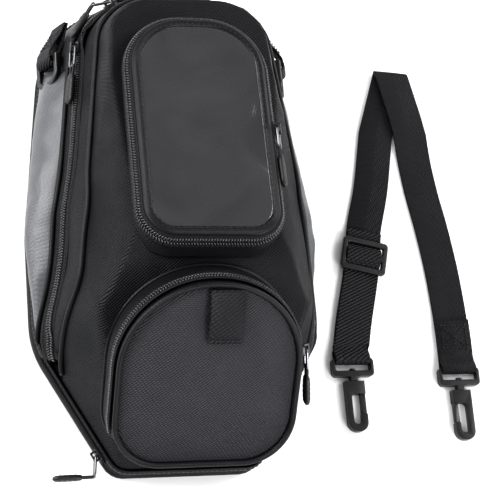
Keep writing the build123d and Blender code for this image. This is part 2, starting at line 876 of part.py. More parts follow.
def hook_eye(plane):
    """Frame that the webbing's end loops through, with the swivel's boss; x points to the hook."""
    with BuildPart() as eye:
        with BuildSketch(plane):
            RectangleRounded(eye_length, eye_width, 3.0)
            with Locations((-eye_slot_shift, 0)):
                RectangleRounded(eye_slot, webbing + 0.6, 1.5, mode=Mode.SUBTRACT)
            with Locations((eye_length / 2, 0)):
                Rectangle(boss_length, hook_thickness, align=(Align.MIN, Align.CENTER))
        extrude(amount=hook_thickness)
        across = Plane(origin=plane.origin + plane.z_dir * hook_thickness / 2, x_dir=plane.y_dir, z_dir=plane.x_dir)
        with BuildSketch(across):
            Circle(swivel_r + swivel_gap)
        extrude(amount=eye_length, mode=Mode.SUBTRACT)
    return eye


def snap_hook(plane, gate_side):
    """Hook with its swivel shank; the gate's gap is on gate_side."""
    start = eye_length / 2 + boss_length + fit_gap
    with BuildPart() as hook:
        with BuildSketch(plane) as hook_view:
            with Locations((start + hook_length / 2, 0)):
                Rectangle(hook_length, hook_width)
            fillet(corners_at(hook_view, start + hook_length, hook_width / 2), hook_width * 0.45)
            fillet(corners_at(hook_view, start + hook_length, -hook_width / 2), hook_width * 0.45)
            with Locations((start + hook_root + throat_length / 2, 0)):
                RectangleRounded(throat_length, throat_width, throat_width * 0.45, mode=Mode.SUBTRACT)
            with Locations((start + hook_root + gate_length / 2, gate_side * hook_width / 2)):
                Rectangle(gate_length, hook_width, mode=Mode.SUBTRACT)
        extrude(amount=hook_thickness)
        with BuildSketch(plane.offset(cheek)):
            with Locations((start + hook_root - gate_root, gate_side * gate_line)):
                Circle(gate_root + fit_gap)
                Rectangle(2 * gate_root, 2 * (gate_root + 3 * fit_gap), align=(Align.MIN, Align.CENTER))
                Rectangle(gate_root, 2 * (gate_root + 3 * fit_gap), align=(Align.CENTER, Align.CENTER))
        extrude(amount=hook_thickness - 2 * cheek, mode=Mode.SUBTRACT)
        with BuildSketch(plane):
            with Locations((start + hook_root - gate_root, gate_side * gate_line)):
                Circle(gate_pin_r)
        extrude(amount=hook_thickness)
        middle = plane.origin + plane.z_dir * hook_thickness / 2
        with BuildSketch(Plane(origin=middle, x_dir=plane.y_dir, z_dir=plane.x_dir).offset(shank_start)):
            Circle(swivel_r)
        extrude(amount=start - shank_start)
        with BuildSketch(Plane(origin=middle, x_dir=plane.y_dir, z_dir=plane.x_dir).offset(shank_start - head)):
            Circle(head_r)
        extrude(amount=head)
    return hook


def hook_gate(plane, gate_side):
    """Sprung gate across the hook's throat."""
    start = eye_length / 2 + boss_length + fit_gap
    with BuildPart() as gate:
        with BuildSketch(plane.offset(cheek + fit_gap)):
            with Locations((start + hook_root - gate_root, gate_side * gate_line)):
                Circle(gate_root)
                Rectangle(gate_root + gate_length - fit_gap, 2 * gate_root, align=(Align.MIN, Align.CENTER))
                Circle(gate_pin_r + swivel_gap, mode=Mode.SUBTRACT)
        extrude(amount=hook_thickness - 2 * (cheek + fit_gap))
    return gate


hook_places = {"left": (strap_left[0], 1), "right": (strap_right[-1], -1)}
for name, (strap_end, gate_side) in hook_places.items():
    hook_plane = Plane(
        origin=(strap_end[0], strap_end[1] - eye_length / 2 - eye_gap, 0), x_dir=(0, -1, 0), z_dir=(0, 0, 1)
    )
    finish(f"hook_eye_{name}", hook_eye(hook_plane))
    finish(f"hook_{name}", snap_hook(hook_plane, gate_side))
    finish(f"gate_{name}", hook_gate(hook_plane, gate_side))
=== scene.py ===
"""Looks of the tank bag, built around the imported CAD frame. Metres, in the frame's own axes."""
import json
import math

import bmesh
import bpy
from mathutils import Matrix, Vector, noise
from mathutils.bvhtree import BVHTree

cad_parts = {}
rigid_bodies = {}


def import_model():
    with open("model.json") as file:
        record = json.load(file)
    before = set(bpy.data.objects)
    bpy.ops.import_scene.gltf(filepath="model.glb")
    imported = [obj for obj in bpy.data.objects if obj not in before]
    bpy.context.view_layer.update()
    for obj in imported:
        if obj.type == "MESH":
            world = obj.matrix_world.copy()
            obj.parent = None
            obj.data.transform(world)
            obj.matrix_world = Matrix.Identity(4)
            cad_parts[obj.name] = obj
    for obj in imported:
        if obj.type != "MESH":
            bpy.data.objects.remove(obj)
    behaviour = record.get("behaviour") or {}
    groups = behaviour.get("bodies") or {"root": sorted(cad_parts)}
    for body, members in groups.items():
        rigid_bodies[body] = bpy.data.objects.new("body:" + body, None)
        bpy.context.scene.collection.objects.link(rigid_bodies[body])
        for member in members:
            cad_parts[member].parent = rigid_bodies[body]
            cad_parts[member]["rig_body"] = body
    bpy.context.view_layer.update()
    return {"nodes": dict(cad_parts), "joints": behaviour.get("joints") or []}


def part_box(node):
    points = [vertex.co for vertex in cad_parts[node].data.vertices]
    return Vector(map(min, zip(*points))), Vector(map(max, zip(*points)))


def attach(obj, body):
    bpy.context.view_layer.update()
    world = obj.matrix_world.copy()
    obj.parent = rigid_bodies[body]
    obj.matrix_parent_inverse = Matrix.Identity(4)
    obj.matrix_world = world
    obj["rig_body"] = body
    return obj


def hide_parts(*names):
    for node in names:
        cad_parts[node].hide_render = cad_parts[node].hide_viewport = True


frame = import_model()
NODES = frame["nodes"]
MM = 0.001
UP = Vector((0, 0, 1))


# ------------------------------------------------------------------ materials
WAVE_REPEAT = math.pi / 10  # a wave texture of scale 1 repeats at this distance
TWILL_RUNS = ((52, 1.0), (-38, 1.35))  # turn in degrees and relative spacing of the two sets of ribs
PLAIN_RUNS = ((0, 1.0), (90, 1.0))
MOTTLE = 0.020  # sizes of the cloth's mottling and soft creases
CREASE = 0.012


def material(name):
    """New node material with its shader, and a helper that adds nodes."""
    mat = bpy.data.materials.new(name)
    mat.use_nodes = True
    tree = mat.node_tree
    shader = tree.nodes["Principled BSDF"]

    def node(kind, **values):
        made = tree.nodes.new(kind)
        for key, value in values.items():
            if key in made.inputs:
                made.inputs[key].default_value = value
            else:
                setattr(made, key, value)
        return made

    return mat, tree, shader, node


def mix_colour(node, link, factor, low, high):
    """Colour ramp from low to high, driven by factor."""
    ramp = node("ShaderNodeValToRGB")
    ramp.color_ramp.elements[0].color = (*low, 1)
    ramp.color_ramp.elements[1].color = (*high, 1)
    link(factor, ramp.inputs["Fac"])
    return ramp.outputs["Color"]


def woven(
    name, low, high, pitch, rough, bump=0.5, sheen=0.0, coat=0.0, coords="UV", twill=True, specular=0.3, wear=0.3
):
    """Woven cloth: threads at pitch metres, diagonal ribs for a twill, with mottling and soft creases."""
    mat, tree, shader, node = material(name)
    link = tree.links.new
    place = node("ShaderNodeTexCoord")
    source = place.outputs[coords]
    waves = []
    for turn, spacing in TWILL_RUNS if twill else PLAIN_RUNS:
        mapping = node("ShaderNodeMapping", Rotation=(0, 0, math.radians(turn)))
        link(source, mapping.inputs["Vector"])
        wave = node("ShaderNodeTexWave", Scale=WAVE_REPEAT / (pitch * spacing), Distortion=0.8, Detail=1.0)
        wave.inputs["Detail Scale"].default_value = 1.5
        link(mapping.outputs["Vector"], wave.inputs["Vector"])
        waves.append(wave.outputs["Fac"])
    cross = node("ShaderNodeMapRange")
    cross.inputs["To Min"].default_value = 0.45 if twill else 0.0
    link(waves[1], cross.inputs["Value"])
    weave = node("ShaderNodeMath", operation="MULTIPLY")
    link(waves[0], weave.inputs[0])
    link(cross.outputs[0], weave.inputs[1])
    grain = node("ShaderNodeTexNoise", Scale=1 / MOTTLE, Detail=6.0)
    link(place.outputs["Object"], grain.inputs["Vector"])
    faded = node("ShaderNodeMath", operation="MULTIPLY_ADD")
    link(grain.outputs["Fac"], faded.inputs[0])
    faded.inputs[1].default_value = wear
    link(weave.outputs[0], faded.inputs[2])
    link(mix_colour(node, link, faded.outputs[0], low, high), shader.inputs["Base Color"])
    roughness = node("ShaderNodeMapRange")
    roughness.inputs["To Min"].default_value = rough + 0.08
    roughness.inputs["To Max"].default_value = rough - 0.08
    link(grain.outputs["Fac"], roughness.inputs["Value"])
    link(roughness.outputs[0], shader.inputs["Roughness"])
    ridge = node("ShaderNodeBump", Strength=bump, Distance=pitch * 0.35)
    link(weave.outputs[0], ridge.inputs["Height"])
    crease = node("ShaderNodeTexNoise", Scale=1 / CREASE, Detail=3.0, Distortion=0.7)
    link(place.outputs["Object"], crease.inputs["Vector"])
    soft = node("ShaderNodeBump", Strength=0.22, Distance=0.0014)
    link(crease.outputs["Fac"], soft.inputs["Height"])
    link(soft.outputs["Normal"], ridge.inputs["Normal"])
    link(ridge.outputs["Normal"], shader.inputs["Normal"])
    shader.inputs["Specular IOR Level"].default_value = specular
    shader.inputs["Sheen Weight"].default_value = sheen
    shader.inputs["Sheen Roughness"].default_value = 0.4
    shader.inputs["Coat Weight"].default_value = coat
    shader.inputs["Coat Roughness"].default_value = 0.3
    return mat


def solid(name, colour, rough, metal=0.0, spread=0.35, grain=1 / 0.004, bump=0.12, coat=0.0):
    """Moulded plastic, rubber or metal, with fine grain and slight wear."""
    mat, tree, shader, node = material(name)
    link = tree.links.new
    place = node("ShaderNodeTexCoord")
    fine = node("ShaderNodeTexNoise", Scale=grain, Detail=5.0)
    wide = node("ShaderNodeTexNoise", Scale=1 / 0.015, Detail=4.0)
    link(place.outputs["Object"], fine.inputs["Vector"])
    link(place.outputs["Object"], wide.inputs["Vector"])
    low = tuple(c * (1 - spread) for c in colour)
    high = tuple(c * (1 + spread) for c in colour)
    link(mix_colour(node, link, wide.outputs["Fac"], low, high), shader.inputs["Base Color"])
    roughness = node("ShaderNodeMapRange")
    roughness.inputs["To Min"].default_value = rough - 0.08
    roughness.inputs["To Max"].default_value = rough + 0.1
    link(fine.outputs["Fac"], roughness.inputs["Value"])
    link(roughness.outputs[0], shader.inputs["Roughness"])
    ridge = node("ShaderNodeBump", Strength=bump, Distance=0.0003)
    link(fine.outputs["Fac"], ridge.inputs["Height"])
    link(ridge.outputs["Normal"], shader.inputs["Normal"])
    shader.inputs["Metallic"].default_value = metal
    shader.inputs["Coat Weight"].default_value = coat
    shader.inputs["Coat Roughness"].default_value = 0.2
    return mat


def clear_film(name):
    """Clear soft film, smoky over the dark lining, with slow glossy ripples."""
    mat, tree, shader, node = material(name)
    link = tree.links.new
    place = node("ShaderNodeTexCoord")
    ripple = node("ShaderNodeTexNoise", Scale=1 / 0.045, Detail=1.0, Distortion=1.2)
    link(place.outputs["Object"], ripple.inputs["Vector"])
    ridge = node("ShaderNodeBump", Strength=0.5, Distance=0.004)
    link(ripple.outputs["Fac"], ridge.inputs["Height"])
    link(ridge.outputs["Normal"], shader.inputs["Normal"])
    haze = node("ShaderNodeMapRange")
    haze.inputs["To Min"].default_value = 0.05
    haze.inputs["To Max"].default_value = 0.16
    link(ripple.outputs["Fac"], haze.inputs["Value"])
    link(haze.outputs[0], shader.inputs["Roughness"])
    link(
        mix_colour(node, link, ripple.outputs["Fac"], (0.015, 0.015, 0.017), (0.06, 0.06, 0.065)),
        shader.inputs["Base Color"]
    )
    shader.inputs["Alpha"].default_value = 0.5
    shader.inputs["Specular IOR Level"].default_value = 0.9
    shader.inputs["Coat Weight"].default_value = 1.0
    shader.inputs["Coat Roughness"].default_value = 0.05
    return mat


# Side panels: the base colour is raised from the cloth's real black to light grey, a painted highlight standing in for
# the left lamp's reflection. The weave, mottling and coat are the cloth's own.
SIDE_TWILL_PAINTED_HIGHLIGHT = woven(
    "side_twill_painted_highlight", (0.020, 0.0205, 0.023), (0.105, 0.108, 0.118), 0.0012, 0.36, 0.5, sheen=0.12, coat=0.35, specular=0.5
)
REAR = woven("rear_twill", (0.006, 0.006, 0.007), (0.035, 0.036, 0.040), 0.0012, 0.45, 0.5, coat=0.1, specular=0.3)
COVER = woven("cover_twill", (0.0022, 0.0022, 0.0027), (0.016, 0.016, 0.019), 0.0014, 0.46, 0.9, specular=0.24)
LID = woven("lid_twill", (0.006, 0.006, 0.0075), (0.034, 0.034, 0.041), 0.0015, 0.42, 0.9, specular=0.38, sheen=0.04)
BASE = woven(
    "base_cordura", (0.003, 0.003, 0.0035), (0.016, 0.016, 0.018), 0.0014, 0.6, 0.7, twill=False, specular=0.2
)
LINING = woven(
    "lining_cloth", (0.006, 0.006, 0.007), (0.018, 0.018, 0.020), 0.0010, 0.6, 0.3, coords="Object", specular=0.2
)
TAPE = woven("zip_tape_weave", (0.003, 0.003, 0.0035), (0.020, 0.020, 0.022), 0.0011, 0.6, 0.6, specular=0.25)
WEBBING = woven("webbing_weave", (0.004, 0.004, 0.005), (0.022, 0.022, 0.025), 0.0021, 0.5, 0.9, specular=0.25)
PIPING = woven(
    "piping_cloth", (0.003, 0.003, 0.0035), (0.013, 0.013, 0.015), 0.0010, 0.40, 0.4, coat=0.04, specular=0.25
)
BINDING = woven("binding_cloth", (0.003, 0.003, 0.004), (0.015, 0.015, 0.017), 0.0012, 0.38, 0.3, specular=0.3)
# Zip teeth: their grey is lighter than the dark coil, a painted highlight standing in for the glints along the chain.
# The coat's shine is rendered.
TEETH_PAINTED_HIGHLIGHT = solid("zip_teeth_painted_highlight", (0.032, 0.032, 0.035), 0.26, coat=0.3)
PLASTIC = solid("moulded_plastic", (0.008, 0.008, 0.009), 0.32, coat=0.1)
RUBBER = solid("pull_rubber", (0.011, 0.011, 0.012), 0.46)
CORD = woven("pull_cord", (0.008, 0.008, 0.009), (0.04, 0.04, 0.043), 0.0009, 0.55, 0.6, coords="Object")
WIRE = solid("bail_wire", (0.20, 0.20, 0.21), 0.30, metal=0.9)
SLIDER = solid("slider_metal", (0.035, 0.035, 0.037), 0.32, metal=0.6)
THREAD = solid("stitch_thread", (0.016, 0.016, 0.018), 0.5)
FOAM = solid("base_foam", (0.04, 0.04, 0.042), 0.8, grain=1 / 0.002)
SOLE = solid("base_rubber", (0.012, 0.012, 0.013), 0.65)
MAGNET = solid("magnet_plate", (0.5, 0.5, 0.52), 0.3, metal=0.95)
FILM = clear_film("window_film")


# ------------------------------------------------------------------ mesh helpers
def piece(name, verts, faces, mat, body, uvs=None, smooth=True, replaces=()):
    """Mesh object that rides on a body; uvs are metres, one per vertex."""
    mesh = bpy.data.meshes.new(name)
    mesh.from_pydata([tuple(v) for v in verts], [], faces)
    mesh.validate()
    if uvs:
        layer = mesh.uv_layers.new(name="UVMap")
        for loop in mesh.loops:
            layer.data[loop.index].uv = uvs[loop.vertex_index]
    if smooth:
        mesh.shade_smooth()
    obj = bpy.data.objects.new(name, mesh)
    bpy.context.scene.collection.objects.link(obj)
    mesh.materials.append(mat)
    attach(obj, body)
    if replaces:
        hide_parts(*replaces)
    return obj


def grid(rows, closed=False, closed_rows=False):
    """Verts, faces and metre UVs of a grid of points; closed joins each row's ends."""
    count = len(rows[0])
    verts = [Vector(p) for row in rows for p in row]
    faces = []
    for i in range(len(rows) - (0 if closed_rows else 1)):
        for j in range(count - (0 if closed else 1)):
            k = (j + 1) % count
            n = (i + 1) % len(rows)
            faces.append((i * count + j, i * count + k, n * count + k, n * count + j))
    uvs = []
    v_run = [0.0] * count
    for i, row in enumerate(rows):
        u_run = 0.0
        for j, p in enumerate(row):
            if j:
                u_run += (Vector(p) - Vector(row[j - 1])).length
            if i:
                v_run[j] += (Vector(p) - Vector(rows[i - 1][j])).length
            uvs.append((u_run, v_run[j]))
    return verts, faces, uvs


def thicken(obj, thickness):
    """Give a skin its thickness, inward, as real mesh."""
    mod = obj.modifiers.new("thickness", "SOLIDIFY")
    mod.thickness = thickness
    mod.offset = -1.0
    mod.use_rim = True
    return obj


def patch(name, rows, mat, body, thickness, closed=False, replaces=()):
    """Cloth panel from rows of points."""
    verts, faces, uvs = grid(rows, closed)
    obj = piece(name, verts, faces, mat, body, uvs, replaces=replaces)
    return thicken(obj, thickness)


def frames(path, normals, closed=False):
    """Tangent, side and normal at each point of a path."""
    made = []
    count = len(path)
    for i, p in enumerate(path):
        before = path[(i - 1) % count] if closed else path[max(i - 1, 0)]
        after = path[(i + 1) % count] if closed else path[min(i + 1, count - 1)]
        tangent = (after - before).normalized()
        side = normals[i].cross(tangent).normalized()
        made.append((p, tangent, side, tangent.cross(side).normalized()))
    return made


def sweep(name, path, normals, profile, mat, body, closed=False, replaces=()):
    """Profile of (side, normal) points swept along a path."""
    rows = [[p + side * a + normal * b for a, b in profile] for p, _, side, normal in frames(path, normals, closed)]
    verts, faces, uvs = grid(rows, closed=True, closed_rows=closed)
    if not closed:
        count = len(profile)
        faces.append(tuple(range(count)))
        faces.append(tuple(reversed(range(len(verts) - count, len(verts)))))
    return piece(name, verts, faces, mat, body, uvs, replaces=replaces)


def circle(radius, count=12):
    return [
        (radius * math.cos(2 * math.pi * i / count), radius * math.sin(2 * math.pi * i / count)) for i in range(count)
    ]


def band(width, thickness, low=0.0):
    """Flat rounded profile, its underside low above the path."""
    w, r = width / 2, min(thickness * 0.45, 0.0012)
    return [(-w, low + r), (-w + r, low), (w - r, low), (w, low + r), (w, low + thickness - r),
            (w - r, low + thickness), (w / 3, low + thickness * 1.08), (-w / 3, low + thickness * 1.08),
            (-w + r, low + thickness), (-w, low + thickness - r)]


def resample(path, normals, step, closed=False):
    """Points at an even step along a path, with normals."""
    pts = list(path) + ([path[0]] if closed else [])
    nrm = list(normals) + ([normals[0]] if closed else [])
    runs = [0.0]
    for a, b in zip(pts, pts[1:]):
        runs.append(runs[-1] + (b - a).length)
    count = max(2, round(runs[-1] / step))
    out_p, out_n = [], []
    k = 0
    for i in range(count + (0 if closed else 1)):
        s = runs[-1] * i / count
        while k < len(runs) - 2 and runs[k + 1] < s:
            k += 1
        t = (s - runs[k]) / max(runs[k + 1] - runs[k], 1e-9)
        out_p.append(pts[k].lerp(pts[k + 1], t))
        out_n.append(nrm[k].lerp(nrm[k + 1], t).normalized())
    return out_p, out_n


def merge(name, parts, mat, body, replaces=()):
    """One object from many small (verts, faces) shapes."""
    verts, faces = [], []
    for v, f in parts:
        base = len(verts)
        verts += v
        faces += [tuple(base + i for i in face) for face in f]
    return piece(name, verts, faces, mat, body, replaces=replaces)


def bead(centre, a, b, c, count=6):
    """Small closed rounded bead with half axes a, b, c."""
    verts = [centre + c]
    for ring in (0.55, -0.55):
        for i in range(count):
            turn = 2 * math.pi * i / count
            verts.append(centre + (a * math.cos(turn) + b * math.sin(turn)) * 0.9 + c * ring)
    verts.append(centre - c)
    faces = []
    for i in range(count):
        j = (i + 1) % count
        faces.append((0, 1 + i, 1 + j))
        faces.append((1 + i, 1 + count + i, 1 + count + j, 1 + j))
        faces.append((1 + count + i, 1 + 2 * count, 1 + count + j))
    return verts, faces


def zip_chain(name, path, normals, body, pitch=0.0016, half=0.0026, lift=0.0012):
    """Coil chain: two rows of slanted beads along a path."""
    pts, nrm = resample(path, normals, pitch)
    parts = []
    for p, tangent, side, normal in frames(pts, nrm):
        for hand in (-1, 1):
            shift = tangent * (pitch * 0.25 * hand)
            slant = (side * 0.95 + tangent * 0.28 * hand).normalized()
            centre = p + normal * lift + side * (hand * half * 0.52) + shift
            parts.append(bead(centre, slant * half * 0.62, normal * 0.0009, tangent * pitch * 0.46))
    merge(name, parts, TEETH_PAINTED_HIGHLIGHT, body)


def stitches(name, path, normals, body, step=0.0032, length=0.0022, lift=0.0003, radius=0.00035, closed=False):
    """Row of raised stitches along a path."""
    pts, nrm = resample(path, normals, step, closed)
    parts = []
    for p, tangent, side, normal in frames(pts, nrm, closed):
        parts.append(bead(p + normal * lift, side * radius, normal * radius, tangent * length / 2, 5))
    merge(name, parts, THREAD, body)


def softened(node, name, mat, width, segments=3):
    """Copy of a CAD node with rounded edges, in its place."""
    source = NODES[node]
    mesh = source.data.copy()
    mesh.materials.clear()
    obj = bpy.data.objects.new(name, mesh)
    bpy.context.scene.collection.objects.link(obj)
    bm = bmesh.new()
    bm.from_mesh(mesh)
    bmesh.ops.remove_doubles(bm, verts=bm.verts, dist=1e-6)
    bmesh.ops.dissolve_limit(bm, angle_limit=math.radians(2), verts=bm.verts, edges=bm.edges)
    bm.to_mesh(mesh)
    bm.free()
    mesh.shade_smooth()
    mesh.materials.append(mat)
    bevel = obj.modifiers.new("round", "BEVEL")
    bevel.width = width
    bevel.segments = segments
    bevel.limit_method = "ANGLE"
    bevel.angle_limit = math.radians(35)
    bevel.harden_normals = True
    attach(obj, source["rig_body"])
    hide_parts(node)
    return obj


def tree_of(*names):
    """Ray-casting tree of CAD nodes."""
    verts, faces = [], []
    for n in names:
        mesh = NODES[n].data
        base = len(verts)
        verts += [v.co.copy() for v in mesh.vertices]
        faces += [tuple(base + i for i in f.vertices) for f in mesh.polygons]
    return BVHTree.FromPolygons(verts, faces)


def wrinkle(p, size, seed=0.0):
    """Smooth noise, -1 to 1, at a length scale."""
    return noise.noise(Vector(p) / size + Vector((seed, seed * 1.7, -seed)))


# ------------------------------------------------------------------ the bag's outer shape
HULL = tree_of(
    "base_skin", "base_wall", "door_sill", "door_header", "base_flap", "side_panel_left", "side_panel_right",
    "rear_panel", "tub_gusset", "cover_shell"
)
CENTRE_Y = 0.010
FAR = 0.4
LOOK_BESIDE = (-0.0012, 0.0012, -0.0024, 0.0024, -0.004, 0.004, -0.006, 0.006)  # heights tried where a ray finds a gap


def hull_at(phi, z):
    """Point and outward normal of the bag's side at an angle round it and a height."""
    way = Vector((math.cos(phi), math.sin(phi), 0))
    spots, normals = [], []
    for dz in LOOK_BESIDE:
        start = Vector((0, CENTRE_Y, z + dz)) + way * FAR
        hit, normal, _, _ = HULL.ray_cast(start, -way)
        if hit is None or normal.dot(way) < 0 or (hit - start).dot(-way) > FAR:
            continue
        spots.append(hit)
        normals.append(normal)
        if len(spots) == 2 or abs(dz) > LOOK_BESIDE[1]:
            break
    spots, normals = (spots * 2)[:2], (normals * 2)[:2]
    if (spots[0] - spots[1]).length > 0.0036:
        spot = max(spots, key=lambda p: Vector((p.x, p.y - CENTRE_Y, 0)).length).copy()
    else:
        spot = (spots[0] + spots[1]) / 2
    spot.z = z
    return spot, (normals[0] + normals[1]).normalized()


def broken_line(points, soft):
    """Height of a bent line at y, its corners softened over soft metres."""
    pts = [(y * MM, z * MM) for y, z in points]

    def raw(y):
        if y <= pts[0][0]:
            return pts[0][1]
        for (y0, z0), (y1, z1) in zip(pts, pts[1:]):
            if y <= y1:
                return z0 + (z1 - z0) * (y - y0) / (y1 - y0)
        return pts[-1][1]

    return lambda y: sum(raw(y + soft * k / 3) for k in range(-3, 4)) / 7


SPLIT = broken_line(((-92, 22.5), (-34, 57.5), (30, 70), (112, 70.8), (240, 73)), 0.014)
TUB_PIPING = broken_line(((-92, 8.5), (-34, 44.5), (30, 57.5), (112, 58.5), (240, 60)), 0.014)
COVER_PIPING = broken_line(((-96, 24), (-50, 79), (0, 91), (240, 95)), 0.010)
TRAY_TOP = 0.0202


def on_line(phi, line, shift=0.0):
    """Hull point where a line z(y) crosses an angle."""
    z = 0.05
    for _ in range(6):
        z = max(0.003, line(hull_at(phi, z)[0].y) + shift)
    return hull_at(phi, z)


def angle_at(y, z, side):
    """Angle round the bag where the hull has this y, on the left (-1) or right (1)."""
    low, high = (-math.pi / 2, math.pi / 2) if side > 0 else (math.pi / 2, 3 * math.pi / 2)
    for _ in range(24):
        mid = (low + high) / 2
        above = hull_at(mid, z)[0].y > y
        if side > 0:
            low, high = (low, mid) if above else (mid, high)
        else:
            low, high = (mid, high) if above else (low, mid)
    return (low + high) / 2


def spread(a, b, count):
    return [a + (b - a) * i / count for i in range(count + 1)]


def smooth_normals(normals, times=4, closed=False):
    out = [n.copy() for n in normals]
    for _ in range(times):
        count = len(out)
        out = [
            (
                out[i] * 2 + out[(i - 1) % count if closed or i else 0]
                + out[(i + 1) % count if closed or i < count - 1 else i]
            ).normalized()
            for i in range(count)
        ]
    return out


def side_rows(phis, low, high, steps, puff=0.0, ripple=0.0, out=0.0, ends=True, seed=0.0):
    """Rows of points on the side between two lines, puffed outward."""
    rows = []
    for phi in phis:
        a, _ = on_line(phi, low)
        b, _ = on_line(phi, high)
        column = []
        for t in spread(0, 1, steps):
            p, n = hull_at(phi, a.z + (b.z - a.z) * t)
            s = (phi - phis[0]) / (phis[-1] - phis[0])
            swell = math.sin(math.pi * t) ** 0.8 * (math.sin(math.pi * s) ** 0.35 if ends else 1.0)
            tall = min(1.0, (b.z - a.z) / 0.03)
            column.append(
                p + n
                * (
                    out + puff * swell * tall + ripple * swell * wrinkle(p, 0.028, seed) + ripple * 0.4 * swell
                    * wrinkle(p, 0.011, seed)
                )
            )
        rows.append(column)
    return list(map(list, zip(*rows)))


def despiked(rows, reach=4, most=0.0045):
    """Closed rows with each point that strays from its neighbours put back among them."""
    out = []
    for row in rows:
        count = len(row)
        kept = []
        for j, p in enumerate(row):
            near = [row[(j + k) % count] for k in range(-reach, reach + 1)]
            mid = Vector([sorted(q[axis] for q in near)[reach] for axis in range(3)])
            kept.append(mid if (p - mid).length > most else p)
        out.append(kept)
    return out


PANEL_FRONT_Y, PANEL_REAR_Y, ZIP_FRONT_Y = -0.070, 0.112, -0.084  # where the side panels and the main zip end
LEFT0 = angle_at(PANEL_FRONT_Y, 0.03, -1)
RIGHT0 = angle_at(PANEL_FRONT_Y, 0.03, 1)
REAR_L = angle_at(PANEL_REAR_Y, 0.035, -1)
REAR_R = angle_at(PANEL_REAR_Y, 0.035, 1)
ZIP_L = angle_at(ZIP_FRONT_Y, 0.03, -1)
ZIP_R = angle_at(ZIP_FRONT_Y, 0.03, 1)
floor_line = lambda y: TRAY_TOP

for name, phis, steps, puff, ripple, mat, slot, seed in (
    ("side_panel_left", spread(REAR_L, LEFT0, 90), 20, 0.0115, 0.0024, SIDE_TWILL_PAINTED_HIGHLIGHT, "side_fabric", 1),
    ("side_panel_right", spread(RIGHT0, REAR_R, 90), 20, 0.0060, 0.0024, SIDE_TWILL_PAINTED_HIGHLIGHT, "side_fabric", 2),
    ("rear_panel", spread(REAR_R, REAR_L, 90), 18, 0.0025, 0.0014, REAR, "cover_fabric", 3),
):
    rows = side_rows(phis, floor_line, TUB_PIPING, steps, puff, ripple, seed=seed)
    patch(name + "_cloth", rows, mat, "bag", 0.0012, replaces=(name,))
round_back_phis = spread(ZIP_R, ZIP_L, 260)
gusset_low = lambda y: max(TRAY_TOP, TUB_PIPING(y))
gusset_top = lambda y: max(TRAY_TOP + 0.0004, SPLIT(y) - 0.0035)
rows = side_rows(round_back_phis, gusset_low, gusset_top, 8, 0.0012, 0.0008, ends=False, seed=4)
patch("tub_gusset_cloth", rows, COVER, "bag", 0.001,
      replaces=("tub_gusset",))
band_low = lambda y: SPLIT(y) + 0.0035
band_top = lambda y: max(SPLIT(y) + 0.004, COVER_PIPING(y))
rows = side_rows(round_back_phis, band_low, band_top, 8, 0.0018, 0.0009, ends=False, seed=5)
patch("cover_side_cloth", rows, COVER, "cover", 0.001)


def run_path(phis, line, shift=0.0, out=0.0, closed=False):
    spots = [on_line(phi, line, shift) for phi in phis]
    normals = smooth_normals([n for _, n in spots], closed=closed)
    return [p + n * out for (p, _), n in zip(spots, normals)], normals


def split_zip(
    name, path, normals, low_body, high_body, closed=False, pitch=0.0017, half=0.0030, tape=0.0068, lift=0.0009,
    replaces_low=(), replaces_high=()
):
    """A zip along a path: each half of its chain and tape rides on its own body."""
    pts, nrm = resample(path, normals, pitch, closed)
    halves = {-1: [], 1: []}
    for p, tangent, side, normal in frames(pts, nrm, closed):
        for hand in (-1, 1):
            slant = (side * 0.94 + tangent * 0.34 * hand).normalized()
            centre = p + normal * lift + side * (hand * half * 0.46) + tangent * (pitch * 0.25 * hand)
            halves[hand].append(bead(centre, slant * half * 0.66, normal * 0.0010, tangent * pitch * 0.40))
    tp, tn = resample(path, normals, 0.004, closed)
    for hand, body, gone, word in ((-1, low_body, replaces_low, "lower"), (1, high_body, replaces_high, "upper")):
        merge(f"{name}_teeth_{word}", halves[hand], TEETH_PAINTED_HIGHLIGHT, body)
        shift = [p + side * (hand * (tape / 2 + half * 0.2)) for p, _, side, _ in frames(tp, tn, closed)]
        sweep(
            f"{name}_tape_{word}", shift, tn, band(tape, 0.0009, -0.0003), TAPE, body, closed,
            replaces=gone
        )
        edge = [p + side * (hand * (tape + half * 0.2 - 0.0018)) for p, _, side, _ in frames(tp, tn, closed)]
        stitches(f"{name}_stitch_{word}", edge, tn, body, lift=0.0008)


zip_path, zip_normals = run_path(round_back_phis, SPLIT, out=0.0006)
split_zip(
    "main_zip", zip_path, zip_normals, "bag", "cover", replaces_low=("tub_zip_tape",),
    replaces_high=("cover_zip_tape",)
)
p, n = run_path(spread(RIGHT0, LEFT0, 240), TUB_PIPING, out=0.0012)
sweep("tub_piping_cord", p, n, circle(0.0017, 14), PIPING, "bag", replaces=("tub_piping",))
COVER_FRONT_Y = -0.0955  # ahead of this the cover's cloth runs down to the base
cover_l = angle_at(COVER_FRONT_Y, 0.026, -1)
cover_r = angle_at(COVER_FRONT_Y, 0.026, 1)
p, n = run_path(spread(cover_r, cover_l, 260), COVER_PIPING, out=0.0012)
sweep("cover_piping_cord", p, n, circle(0.0018, 14), PIPING, "cover", replaces=("cover_piping",))


